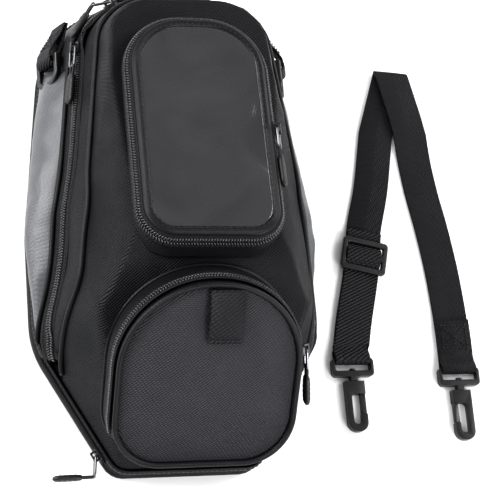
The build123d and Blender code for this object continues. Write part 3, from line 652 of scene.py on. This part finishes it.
# cover top: from the piping, or the front's foot, in to the middle
def cover_dome(out, puff, ripple, rings=46, around=288):
    """Rows of points over the cover, from its rim in to its middle."""
    edge_line = lambda y: COVER_PIPING(y) if y > COVER_FRONT_Y else 0.0232
    rim = [on_line(2 * math.pi * i / around, edge_line)[0] for i in range(around)]
    middle = Vector((0, 0.012, 0))
    rows = []
    for k in range(rings + 1):
        t = (k / rings) ** 1.6
        row = []
        for p in rim:
            flat = Vector((p.x, p.y, 0)).lerp(middle, t * 0.985)
            start = Vector((flat.x, flat.y, 0.3))
            hit, normal, _, _ = HULL.ray_cast(start, -UP)
            if k == 0 or hit is None:
                hit = p.copy()
                normal = Vector((p.x, p.y, 0.1)).normalized() if normal is None else normal
            edge = min(1.0, k / 7)
            row.append(
                hit + normal
                * (out + puff * edge + ripple * edge * (wrinkle(hit, 0.035, 6) + 0.4 * wrinkle(hit, 0.013, 8)))
            )
        rows.append(row)
    return rows


def spread_uv(obj, rows):
    """UVs of a dome by distance from its middle, so that the weave keeps its size."""
    count = len(rows[0])
    runs = [0.0] * count
    uvs = {}
    for i in range(len(rows) - 1, -1, -1):
        for j, p in enumerate(rows[i]):
            if i < len(rows) - 1:
                runs[j] += (rows[i + 1][j] - p).length
            way = Vector((rows[0][j].x, rows[0][j].y - CENTRE_Y, 0)).normalized()
            uvs[i * count + j] = (way.x * runs[j], way.y * runs[j])
    layer = obj.data.uv_layers[0]
    for loop in obj.data.loops:
        layer.data[loop.index].uv = uvs[loop.vertex_index]


dome_rows = cover_dome(0.0, 0.0012, 0.0014)
cover_cloth = patch(
    "cover_cloth", dome_rows, COVER, "cover", 0.0012, closed=True, replaces=("cover_shell",)
)
spread_uv(cover_cloth, dome_rows)
patch(
    "cover_lining_cloth", cover_dome(-0.0036, 0.0, 0.0016), LINING, "cover", 0.0006, closed=True,
    replaces=("cover_lining",)
)
full_turn = spread(0, 2 * math.pi, 300)[:-1]
lining_top = lambda y: max(TRAY_TOP + 0.0015, SPLIT(y) - 0.0006)
side_lining = side_rows(full_turn, floor_line, lining_top, 14, -0.001, 0.0018, out=-0.0042, ends=False, seed=9)
patch("tub_lining_cloth", despiked(side_lining), LINING, "bag", 0.0006, closed=True, replaces=("tub_wall",))
rim_path, rim_normals = run_path(round_back_phis, SPLIT, -0.0022, -0.0022)
below_rim = [(0.0016, -0.002), (0.0016, 0.0018), (-0.006, 0.0018), (-0.006, -0.002)]
sweep("tub_rim_binding", rim_path, rim_normals, below_rim, BINDING, "bag")
rim_path, rim_normals = run_path(round_back_phis, SPLIT, 0.0022, -0.0022)
above_rim = [(0.006, -0.0018), (0.006, 0.0018), (-0.0016, 0.0018), (-0.0016, -0.0018)]
sweep("cover_rim_binding", rim_path, rim_normals, above_rim, BINDING, "cover")

# base: two full bands, one broken by the door, and the door
ALONG = Vector((-0.4874, 0.8732, 0))
DOOR = Vector((-0.071, -0.115, 0))
DOOR_HALF = 0.0394
door_a = DOOR + ALONG * DOOR_HALF
door_b = DOOR - ALONG * DOOR_HALF
phi_a = math.atan2(door_a.y - CENTRE_Y, door_a.x) % (2 * math.pi)
phi_b = math.atan2(door_b.y - CENTRE_Y, door_b.x) % (2 * math.pi)
level = lambda z: (lambda y: z)


def base_band(name, phis, low, high, puff, closed, replaces=()):
    rows = side_rows(phis, level(low), level(high), 6, puff, 0.0004, ends=False, seed=11)
    patch(name, rows, BASE, "bag", 0.0015, closed, replaces)


BAND_LOW, DOOR_FOOT, DOOR_HEAD, BAND_HIGH = 0.0026, 0.0093, 0.0183, 0.0204
base_band("base_band_low", full_turn, BAND_LOW, DOOR_FOOT, 0.0006, True, ("base_wall", "door_sill", "door_header"))
base_band("base_band_high", full_turn, DOOR_HEAD, BAND_HIGH, 0.0, True)
base_band("base_band_door", spread(phi_b, phi_a + 2 * math.pi, 240), DOOR_FOOT, DOOR_HEAD, 0.0005, False)
OUTWARD = Vector((-0.8732, -0.4874, 0))
door_rows = []
for z in spread(0.0097, 0.0179, 6):
    bulge = 0.0002 + 0.0008 * math.sin(math.pi * (z - 0.0097) / 0.0082)
    door_rows.append([DOOR + ALONG * a + OUTWARD * bulge + UP * z for a in spread(-0.0388, 0.0388, 30)])
patch("base_door_cloth", door_rows, BASE, "base_door", 0.002, replaces=("base_flap",))
door_line = [DOOR + ALONG * a + OUTWARD * 0.0008 + UP * 0.0141 for a in spread(-0.0375, 0.0375, 20)]
door_normals = [OUTWARD] * len(door_line)
zip_chain("base_zip_chain", door_line, door_normals, "base_door")
for z, word in ((0.0168, "upper"), (0.0112, "lower")):
    seam = [Vector((q.x, q.y, z)) for q in door_line]
    stitches(f"base_door_stitch_{word}", seam, door_normals, "base_door", lift=0.0002)
p, n = run_path(full_turn, level(0.0203), out=0.0004, closed=True)
seam_profile = [(-0.0022, 0), (-0.0018, 0.0008), (0, 0.0011), (0.0018, 0.0008), (0.0022, 0), (0, -0.001)]
sweep("base_seam_binding", p, n, seam_profile, BINDING, "bag", closed=True)
stitches("base_seam_stitch", p, n, "bag", lift=0.0011, closed=True)
sole, n = run_path(full_turn, level(0.0028), out=-0.0006, closed=True)
edge_profile = [(-0.0026, -0.0006), (-0.0024, 0.0012), (0.0008, 0.0016), (0.0022, 0.0008), (0.0022, -0.0006)]
sweep("base_edge_binding", sole, n, edge_profile, BINDING, "bag", closed=True)


# ------------------------------------------------------------------ pockets
def plane_of(origin, y_axis):
    y = Vector(y_axis).normalized()
    x = Vector((1, 0, 0))
    return Vector(origin), x, y, x.cross(y)


POCKET = plane_of((0, 0.038, 0.113051), (0, 0.9974, -0.0715))
ROUND = plane_of((0, -0.097, 0.0713), (0, 0.7809, 0.6247))


def at(plane, x, y, z):
    o, ax, ay, az = plane
    return o + ax * x + ay * y + az * z


def turn(plane, x, y, z=0.0):
    _, ax, ay, az = plane
    return (ax * x + ay * y + az * z).normalized()


def outline(half_w, half_l, low_r, high_r, inset, arc=16, run=18):
    """Rounded outline, counter-clockwise from the middle of the right side: (x, y, nx, ny)."""
    w, l = half_w - inset, half_l - inset
    lo, hi = max(low_r - inset, 0.001), max(high_r - inset, 0.001)
    out = []

    def straight(a, b, n):
        for i in range(run):
            t = i / run
            out.append((a[0] + (b[0] - a[0]) * t, a[1] + (b[1] - a[1]) * t, n[0], n[1]))

    def corner(cx, cy, r, start):
        for i in range(arc):
            q = math.radians(start + 90 * i / arc)
            out.append((cx + r * math.cos(q), cy + r * math.sin(q), math.cos(q), math.sin(q)))

    straight((w, 0), (w, l - hi), (1, 0))
    corner(w - hi, l - hi, hi, 0)
    straight((w - hi, l), (-w + hi, l), (0, 1))
    corner(-w + hi, l - hi, hi, 90)
    straight((-w, l - hi), (-w, -l + lo), (-1, 0))
    corner(-w + lo, -l + lo, lo, 180)
    straight((-w + lo, -l), (w - lo, -l), (0, -1))
    corner(w - lo, -l + lo, lo, 270)
    straight((w, -l + lo), (w, 0), (1, 0))
    return out


def phone_outline(inset):
    return outline(0.048, 0.079, 0.024, 0.040, inset)


def round_outline(inset):
    return outline(0.057, 0.0605, 0.031, 0.0555, inset)


def ring(plane, shape, z, push=0.0):
    """Loop of points on a pocket's plane, with outward normals."""
    points = [at(plane, x + nx * push, y + ny * push, z) for x, y, nx, ny in shape]
    return points, [turn(plane, nx, ny) for _, _, nx, ny in shape]


def gusset(name, plane, shape_at, low, high, inset_at, puff, ripple, mat, replaces, steps=14, seed=0.0):
    rows = []
    for h in spread(low, high, steps):
        t = max(0.0, h / high)
        pts, nrm = ring(plane, shape_at(inset_at(h)), h)
        swell = math.sin(math.pi * t)
        rows.append([p + n * (puff * swell + ripple * swell * wrinkle(p, 0.018, seed)) for p, n in zip(pts, nrm)])
    return patch(name, rows, mat, "cover", 0.0012, closed=True, replaces=replaces)


def filled(name, plane, shape_at, inset, height, mat, body, thickness, replaces=(), rings=18):
    """Sheet that fills an outline; height(t, x, y) is its level, t from 0 at the edge to 1 in the middle."""
    base = shape_at(inset)
    rows = []
    for k in range(rings + 1):
        t = 0.96 * k / rings
        rows.append([at(plane, x * (1 - t), y * (1 - t), height(t, x * (1 - t), y * (1 - t))) for x, y, _, _ in base])
    verts, faces, uvs = grid(rows, True)
    count = len(base)
    last = len(verts) - count
    middle = sum(verts[last:], Vector()) / count
    verts.append(middle)
    uvs.append((0, 0))
    faces += [(last + i, last + (i + 1) % count, len(verts) - 1) for i in range(count)]
    obj = thicken(piece(name, verts, faces, mat, body, uvs, replaces=replaces), thickness)
    layer = obj.data.uv_layers[0]
    o, ax, ay, _ = plane
    for loop in obj.data.loops:
        rel = obj.data.vertices[loop.vertex_index].co - o
        layer.data[loop.index].uv = (rel.dot(ax), rel.dot(ay))
    return obj


phone_inset = lambda h: 0.0065 * h / 0.012
gusset(
    "phone_pocket_side", POCKET, phone_outline, -0.005, 0.0122, phone_inset, 0.0012, 0.0006, COVER,
    ("phone_pocket_gusset",), seed=12
)


def back_level(_, x, y):
    return 0.0022 + 0.0006 * wrinkle((x, y, 0), 0.03, 3)


def film_level(t, x, y):
    crown = 0.0012 * math.sin(math.pi * min(1, t * 1.3) / 2)
    return 0.0136 + crown + 0.0007 * wrinkle((x, y, 0), 0.03, 5) * min(1, t * 5)


filled(
    "phone_pocket_lining", POCKET, phone_outline, 0.0035, back_level, LINING, "cover", 0.001,
    ("phone_pocket_back",)
)
wp, wn = ring(POCKET, phone_outline(phone_inset(0.0078)), 0.0078, 0.0016)
lean_out = [(n * 0.88 + POCKET[3] * 0.475).normalized() for n in wn]
split_zip(
    "window_zip", wp, lean_out, "cover", "window", closed=True, pitch=0.0018, half=0.0030, tape=0.0042, lift=0.0007
)
fp, _ = ring(POCKET, phone_outline(0.0078), 0.0128)
frame_profile = [
    (-0.0030, -0.0020), (-0.0030, -0.0004), (-0.0024, 0.0009), (-0.0010, 0.0015), (0.0008, 0.0015), (0.0022, 0.0010),
    (0.0026, 0.0002), (0, -0.0008)
]
fup = [POCKET[3]] * len(fp)
sweep("window_binding", fp, fup, frame_profile, BINDING, "window", closed=True, replaces=("window_frame",))
sp, _ = ring(POCKET, phone_outline(0.0089), 0.0143)
stitches("window_stitch", sp, fup, "window", step=0.0036, lift=0.0002, closed=True)
filled(
    "window_film_sheet", POCKET, phone_outline, 0.0092, film_level, FILM, "window", 0.0004, ("window_film",),
    rings=26
)

round_inset = lambda h: -0.003 * (1 - h / 0.024)
gusset(
    "round_pocket_side", ROUND, round_outline, -0.002, 0.0245, round_inset, 0.0012, 0.0009, COVER,
    ("round_pocket_gusset",), seed=13
)
rp, rn = ring(ROUND, round_outline(round_inset(0.0173)), 0.0173, 0.0018)
loop_order = [(len(rp) - 10 + i) % len(rp) for i in range(100)]  # up the right side, over the top, down the left
zp, zn = [rp[i] for i in loop_order], [rn[i] for i in loop_order]
split_zip("round_zip", zp, zn, "cover", "round_lid", pitch=0.0018, half=0.0030, tape=0.0042, lift=0.0007)
pp, pn = ring(ROUND, round_outline(0.0), 0.0258)
sweep(
    "round_piping_cord", pp, pn, circle(0.0019, 14), PIPING, "round_lid", closed=True,
    replaces=("round_panel_piping",)
)
pp, pn = ring(ROUND, round_outline(-0.0033), 0.0012)
sweep("round_foot_binding", pp, pn, circle(0.0013, 10), BINDING, "cover", closed=True)


def lid_level(t, x, y):
    """Height of the lid's crowned, slightly creased cloth."""
    swell = 1 - (1 - t) ** 2.2
    creases = wrinkle((x, y, 0), 0.032, 14) + 0.5 * wrinkle((x, y, 0), 0.014, 15)
    return 0.0246 + 0.0046 * swell + 0.0009 * min(1, t * 4) * creases


lid = filled(
    "round_lid_cloth", ROUND, round_outline, 0.0004, lid_level, LID, "round_lid", 0.0012,
    ("round_panel",), rings=26
)

# stitched webbing loop at the lid's top
LOOP_X = 0.006
loop_rows_y = spread(0.0575, 0.0240, 18)
loop_path = []
for i, y in enumerate(loop_rows_y):
    edge = 1 - max(abs(LOOP_X) / 0.057, abs(y) / 0.0605)
    lift = 0.0018 + 0.0022 * math.sin(math.pi * i / 18)
    loop_path.append(at(ROUND, LOOP_X, y, lid_level(edge, LOOP_X, y) + lift))
loop_up = [ROUND[3]] * len(loop_path)
sweep(
    "light_loop_webbing", loop_path, loop_up, band(0.0225, 0.0016, -0.0008), WEBBING, "round_lid",
    replaces=("light_loop",)
)


def box_stitch(name, corners, normal, body, cross=True, lift=0.0004):
    """Sewn box with a cross between four corners."""
    a, b, c, d = corners
    runs = [(a, b), (b, c), (c, d), (d, a)] + ([(a, c), (b, d)] if cross else [])
    for i, (start, end) in enumerate(runs):
        stitches(
            f"{name}_{i}", [start.lerp(end, t) for t in spread(0, 1, 6)], [normal] * 7, body, step=0.0026,
            length=0.0020, lift=lift, radius=0.0004
        )


low = [
    at(ROUND, LOOP_X + dx, y, lid_level(1 - y / 0.0605, LOOP_X, y) + 0.0032)
    for dx, y in ((-0.0088, 0.0260), (0.0088, 0.0260), (0.0088, 0.0320), (-0.0088, 0.0320))
]
box_stitch("light_loop_stitch", low, ROUND[3], "round_lid", cross=False)


# ------------------------------------------------------------------ handle, D-ring tabs
handle_low, handle_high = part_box("handle")
HANDLE_Z = (handle_low.z + handle_high.z) / 2
HANDLE_BACK = handle_high.y
HANDLE_SAG = 0.031
HANDLE_HALF = 0.046
HANDLE_R = (HANDLE_HALF**2 + HANDLE_SAG**2) / (2 * HANDLE_SAG)
centre = Vector((0, HANDLE_BACK - HANDLE_R, HANDLE_Z))
swing = math.asin(HANDLE_HALF / HANDLE_R)
hp, hn = [], []
for q in spread(-swing * 0.985, swing * 0.985, 60):
    way = Vector((-math.sin(q), math.cos(q), 0))
    hp.append(centre + way * (HANDLE_R - 0.0013))
    hn.append(way)
sweep("handle_webbing", hp, hn, band(0.0226, 0.0024, -0.0012), WEBBING, "bag", replaces=("handle",))
for edge, word in ((-0.0086, "low"), (0.0086, "high")):
    stitches(f"handle_stitch_{word}", [q + UP * edge for q in hp], hn, "bag", lift=0.0015)

LEAN = math.radians(20)
for side, word in ((-1, "left"), (1, "right")):
    bar = Vector((-side * math.sin(LEAN), 0, math.cos(LEAN)))
    away = Vector((side * math.cos(LEAN), 0, math.sin(LEAN)))
    back = Vector((0, 1, 0))
    pivot = Vector((side * 0.0805, 0.116, 0.041))
    fold = [(0.027, -0.0062), (0.019, -0.0036), (0.011, 0.0008), (0.005, 0.0034)]
    fold += [(0.0038 * math.cos(q), 0.0038 * math.sin(q)) for q in spread(math.pi / 2, 3 * math.pi / 2, 10)]
    fold += [(0.005, -0.0038), (0.012, -0.0052), (0.020, -0.0066), (0.027, -0.0078)]
    inward = Vector((-side * 0.112, 1, 0)).normalized()
    tab_path = [pivot + inward * u + away * v for u, v in fold]
    tab_normals = []
    for i, (u, v) in enumerate(fold):
        tab_normals.append(away if i < 4 else (-away if i > len(fold) - 5 else (back * u + away * v).normalized()))
    sweep(
        f"d_ring_tab_{word}_webbing", tab_path, tab_normals, band(0.0178, 0.0016, -0.0008), WEBBING, "bag",
        replaces=(f"d_ring_tab_{word}",)
    )
    sewn = ((0.010, 0.0022, -0.0065), (0.010, 0.0022, 0.0065), (0.021, -0.0034, 0.0065), (0.021, -0.0034, -0.0065))
    top = [pivot + inward * u + away * v + bar * w for u, v, w in sewn]
    box_stitch(f"d_ring_tab_{word}_stitch", top, away, "bag", lift=0.0006)
    softened(f"d_ring_{word}", f"d_ring_{word}_bar", PLASTIC, width=0.0009, segments=4)


# ------------------------------------------------------------------ sliders and pulls
for k in ("main_left", "main_right", "window", "round", "base"):
    softened(f"{k}_slider", f"{k}_slider_body", SLIDER, width=0.0004)
    softened(f"{k}_bail", f"{k}_bail_wire", WIRE, width=0.00055, segments=4)
    tab_node = NODES[f"{k}_tab"]
    swing_joint = [j for j in frame["joints"] if j["child"] == f"{k}_pull"][0]
    tab_points = [v.co.copy() for v in tab_node.data.vertices]
    start_at = Vector(swing_joint["pos_m"])
    far = max(tab_points, key=lambda q: (q - start_at).length)
    near = min(tab_points, key=lambda q: (q - start_at).length)
    face = max(tab_node.data.polygons, key=lambda f: f.area).normal.copy()
    long_way = (far - near)
    long_way = (long_way - face * long_way.dot(face)).normalized()
    reach = [(q - near).dot(long_way) for q in tab_points]
    cross_way = face.cross(long_way).normalized()
    mids = [(q - near).dot(cross_way) for q in tab_points]
    mid_cross = (max(mids) + min(mids)) / 2
    thick = [(q - near).dot(face) for q in tab_points]
    mid_face = (max(thick) + min(thick)) / 2
    origin = near + cross_way * mid_cross + face * mid_face
    length = max(reach)
    rows = []
    body_start = 0.0072
    for s in spread(0, 1, 30):
        x = body_start + (length - body_start) * s
        nose = math.sqrt(max(0.0, 1 - abs(2 * s - 1) ** 5))
        groove = 1 - 0.10 * (0.5 + 0.5 * math.cos(2 * math.pi * s * 6)) * (1 if 0.15 < s < 0.85 else 0)
        w = 0.0043 * (0.82 + 0.18 * s) * max(nose, 0.05)
        h = 0.0021 * groove * max(nose, 0.05)
        row = []
        for q in spread(0, 2 * math.pi, 28)[:-1]:
            across_by = w * math.copysign(abs(math.cos(q)) ** 0.65, math.cos(q))
            up_by = h * math.copysign(abs(math.sin(q)) ** 0.75, math.sin(q))
            row.append(origin + long_way * x + cross_way * across_by + face * up_by)
        rows.append(row)
    verts, faces, uvs = grid(rows, closed=True)
    faces += [tuple(reversed(range(28))), tuple(range(len(verts) - 28, len(verts)))]
    piece(f"{k}_pull_tab", verts, faces, RUBBER, f"{k}_pull", uvs, replaces=(f"{k}_tab",))
    loop_pts, loop_nrm = [], []
    for q in spread(0, 2 * math.pi, 24)[:-1]:
        loop_pts.append(origin + long_way * (0.0052 + 0.0052 * math.cos(q)) + cross_way * (0.0017 * math.sin(q)))
        loop_nrm.append(face)
    sweep(f"{k}_pull_cord", loop_pts, loop_nrm, circle(0.0009, 10), CORD, f"{k}_pull", closed=True)


# ------------------------------------------------------------------ shoulder strap
def through(points, step=0.004):
    """Even points on a smooth curve through control points (x, y in mm)."""
    pts = [Vector((x * MM, y * MM, 0)) for x, y in points]
    pts = [pts[0] * 2 - pts[1]] + pts + [pts[-1] * 2 - pts[-2]]
    out = []
    for i in range(1, len(pts) - 2):
        p0, p1, p2, p3 = pts[i - 1 : i + 3]
        for k in range(24):
            t = k / 24
            square = (2 * p0 - 5 * p1 + 4 * p2 - p3) * t * t
            cube = (3 * p1 - p0 - 3 * p2 + p3) * t**3
            out.append(0.5 * (2 * p1 + (p2 - p0) * t + square + cube))
    out.append(pts[-2])
    return resample(out, [UP] * len(out), step)[0]


LEFT_LEG = through(((126, -79), (131, -55), (140, -20), (146, 12), (155, 44), (163, 84), (172, 128)))
RIGHT_LEG = through(((186, 128), (189, 84), (193, 44), (198, 12), (202, -22), (204, -60), (204, -87)))
HALF_WEB = 0.0125
WEB = 0.0016
strap_rows = []


def across(points, i):
    t = (points[min(i + 1, len(points) - 1)] - points[max(i - 1, 0)]).normalized()
    return Vector((t.y, -t.x, 0))


def add_row(p, z, cross):
    middle = Vector((p.x, p.y, z))
    stations = (-1, -0.94, -0.5, 0, 0.5, 0.94, 1)
    strap_rows.append([middle + cross * (HALF_WEB * w) + UP * (0.0002 * (1 - w * w)) for w in stations])


glide_lo, glide_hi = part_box("tri_glide")
GLIDE = (glide_lo + glide_hi) / 2
TOP_LAYER = 0.0027


def glide_rise(p):
    """Height of the upper layer where it threads the buckle."""
    d = abs((Vector((p.x, p.y, 0)) - Vector((GLIDE.x, GLIDE.y, 0))).length)
    ease = min(1.0, max(0.0, (0.0085 - d) / 0.006))
    return (glide_hi.z + 0.0006 - TOP_LAYER) * ease * ease * (3 - 2 * ease)


def over_bar(end, top_first, cross):
    """Add the rows that take the webbing over a hook frame's bar and under it."""
    steps = [
        (-0.006, TOP_LAYER), (-0.002, 0.0036), (0.0006, 0.0052), (0.0025, 0.0060), (0.0044, 0.0060), (0.0058, 0.0048),
        (0.0064, 0.0028), (0.0060, 0.0012), (0.004, 0.0007), (0.001, 0.0006), (-0.003, 0.0007),
    ]
    for u, z in steps if top_first else reversed(steps):
        add_row(end + Vector((0, -u, 0)), z, cross)


tail_rows = [i for i, p in enumerate(LEFT_LEG) if p.y < 0.014]
for i in reversed(tail_rows[2:]):
    p = LEFT_LEG[i]
    cross = -across(LEFT_LEG, i)
    add_row(p, TOP_LAYER + glide_rise(p) + 0.0003 * wrinkle(p, 0.03, 2), cross)
over_bar(LEFT_LEG[0], True, Vector((-1, 0, 0)))
FOLD_LINE = Vector((1, -0.065, 0)).normalized()
apex = (LEFT_LEG[-1] + RIGHT_LEG[0]) / 2 + Vector((0, 0.004, 0))
for i in range(1, len(LEFT_LEG)):
    tail = max(0.0, (i - (len(LEFT_LEG) - 12)) / 11)
    p = LEFT_LEG[i] + (apex - LEFT_LEG[-1]) * tail
    cross = across(LEFT_LEG, i)
    cross = cross.lerp(FOLD_LINE * 1.02, tail * tail)
    add_row(p, 0.0008 + 0.0012 * tail + 0.0004 * max(0.0, wrinkle(p, 0.05, 4)), cross)
fold_away = Vector((FOLD_LINE.y * -1, FOLD_LINE.x, 0))
for q in spread(-70, 70, 8):
    a = math.radians(q)
    add_row(apex + fold_away * (0.0012 * math.cos(a)), 0.0030 + 0.0010 * math.sin(a), FOLD_LINE)
for i in range(0, len(RIGHT_LEG) - 1):
    head = max(0.0, 1 - i / 11)
    p = RIGHT_LEG[i] + (apex - RIGHT_LEG[0]) * head
    cross = -across(RIGHT_LEG, i)
    cross = cross.lerp(FOLD_LINE * 1.02, head * head)
    fall = min(1.0, max(0.0, (0.104 - p.y) / 0.045))
    lift = 0.0040 * (1 - fall * fall * (3 - 2 * fall))
    add_row(p, 0.0008 + lift + 0.0004 * max(0.0, wrinkle(p, 0.05, 6)), cross)
over_bar(RIGHT_LEG[-1], False, Vector((1, 0, 0)))
back_rows = [i for i, p in enumerate(RIGHT_LEG) if p.y < -0.052]
for i in reversed(back_rows[:-2]):
    add_row(RIGHT_LEG[i], TOP_LAYER, -across(RIGHT_LEG, i))
strap = patch("strap_webbing_cloth", strap_rows, WEBBING, "strap", WEB, replaces=("strap_webbing",))
strap.modifiers["thickness"].offset = 0.0
near_i, far_i = (min(range(len(RIGHT_LEG)), key=lambda i: abs(RIGHT_LEG[i].y - y)) for y in (-0.076, -0.060))
corners = [
    RIGHT_LEG[i] + across(RIGHT_LEG, i) * dx + UP * (TOP_LAYER + 0.0011)
    for i, dx in ((near_i, -0.009), (near_i, 0.009), (far_i, 0.009), (far_i, -0.009))
]
box_stitch("strap_stitch_right", corners, UP, "strap", lift=0.0002)
for node in ("tri_glide", "hook_eye_left", "hook_eye_right", "hook_left", "hook_right", "gate_left", "gate_right"):
    softened(node, node + "_moulded", PLASTIC, width=0.0009 if "gate" not in node else 0.0004, segments=4)

# ------------------------------------------------------------------ CAD nodes in sight when the bag is open
for names, mat in (
    (("base_skin",), SOLE),
    (("base_pad",), FOAM),
    (("magnet_1", "magnet_2", "magnet_3", "magnet_4"), MAGNET),
    (("base_board", "floor_panel"), LINING),
):
    for n in names:
        NODES[n].data.materials.clear()
        NODES[n].data.materials.append(mat)

# ------------------------------------------------------------------ floor, light, camera
floor_mat, tree, shader, node = material("studio_floor")
place = node("ShaderNodeTexCoord")
fleck = node("ShaderNodeTexNoise", Scale=30.0, Detail=3.0)
tree.links.new(place.outputs["Object"], fleck.inputs["Vector"])
tree.links.new(
    mix_colour(node, tree.links.new, fleck.outputs["Fac"], (0.80, 0.80, 0.80), (0.84, 0.84, 0.84)),
    shader.inputs["Base Color"]
)
shader.inputs["Roughness"].default_value = 0.6
FLOOR_HALF = 4.0
TARGET = Vector((0, 0, 0.05))
floor_mesh = bpy.data.meshes.new("studio_floor")
floor_mesh.from_pydata(
    [(x * FLOOR_HALF, y * FLOOR_HALF, 0) for x, y in ((-1, -1), (1, -1), (1, 1), (-1, 1))], [], [(0, 1, 2, 3)]
)
floor_mesh.materials.append(floor_mat)
floor_obj = bpy.data.objects.new("studio_floor", floor_mesh)
floor_obj.location.z = -0.0002
bpy.context.scene.collection.objects.link(floor_obj)


def area_light(name, spot, size_m, power):
    """Square light aimed at the middle of the bag."""
    data = bpy.data.lights.new(name, "AREA")
    data.shape = "SQUARE"
    data.size = size_m
    data.energy = power
    obj = bpy.data.objects.new(name, data)
    obj.location = spot
    obj.rotation_euler = (TARGET - Vector(spot)).to_track_quat("-Z", "Y").to_euler()
    bpy.context.scene.collection.objects.link(obj)


area_light("key_left", (-1.5, 0.5, 1.0), 1.2, 42)
area_light("right_back", (1.6, 0.7, 1.1), 1.2, 22)
area_light("front_right", (0.9, -1.3, 1.0), 0.8, 22)
world = bpy.data.worlds.new("studio")
world.use_nodes = True
world.node_tree.nodes["Background"].inputs["Color"].default_value = (1, 1, 1, 1)
world.node_tree.nodes["Background"].inputs["Strength"].default_value = 0.6
bpy.context.scene.world = world
bpy.context.scene.view_settings.view_transform = "Standard"
bpy.context.scene.view_settings.look = "High Contrast"

YAW, TILT, ROLL = math.radians(14.8), math.radians(18.8), math.radians(-4.3)
DISTANCE = 1.088
LENS_MM = 119.376  # on the 36 mm sensor
AIM_RIGHT, AIM_UP = -0.0416164, -0.0162847  # the camera looks this far off the target, as tangents
toward = Vector((-math.tan(YAW), -math.tan(TILT), 1)).normalized()
up_way = (Vector((0, 1, 0)) - toward * toward.y).normalized()
right_way = up_way.cross(toward)
right_rolled = right_way * math.cos(ROLL) + up_way * math.sin(ROLL)
up_rolled = -right_way * math.sin(ROLL) + up_way * math.cos(ROLL)
look = (-toward - right_rolled * AIM_RIGHT + up_rolled * AIM_UP).normalized()
cam_z = -look
cam_x = up_rolled.cross(cam_z).normalized()
cam_y = cam_z.cross(cam_x)
camera = bpy.data.cameras.new("camera")
camera.lens = LENS_MM
camera.clip_end = 20
camera_obj = bpy.data.objects.new("camera", camera)
spot = TARGET + toward * DISTANCE
turned = Matrix((cam_x, cam_y, cam_z)).transposed().to_4x4()
camera_obj.matrix_world = Matrix.Translation(spot) @ turned
bpy.context.scene.collection.objects.link(camera_obj)
bpy.context.scene.camera = camera_obj
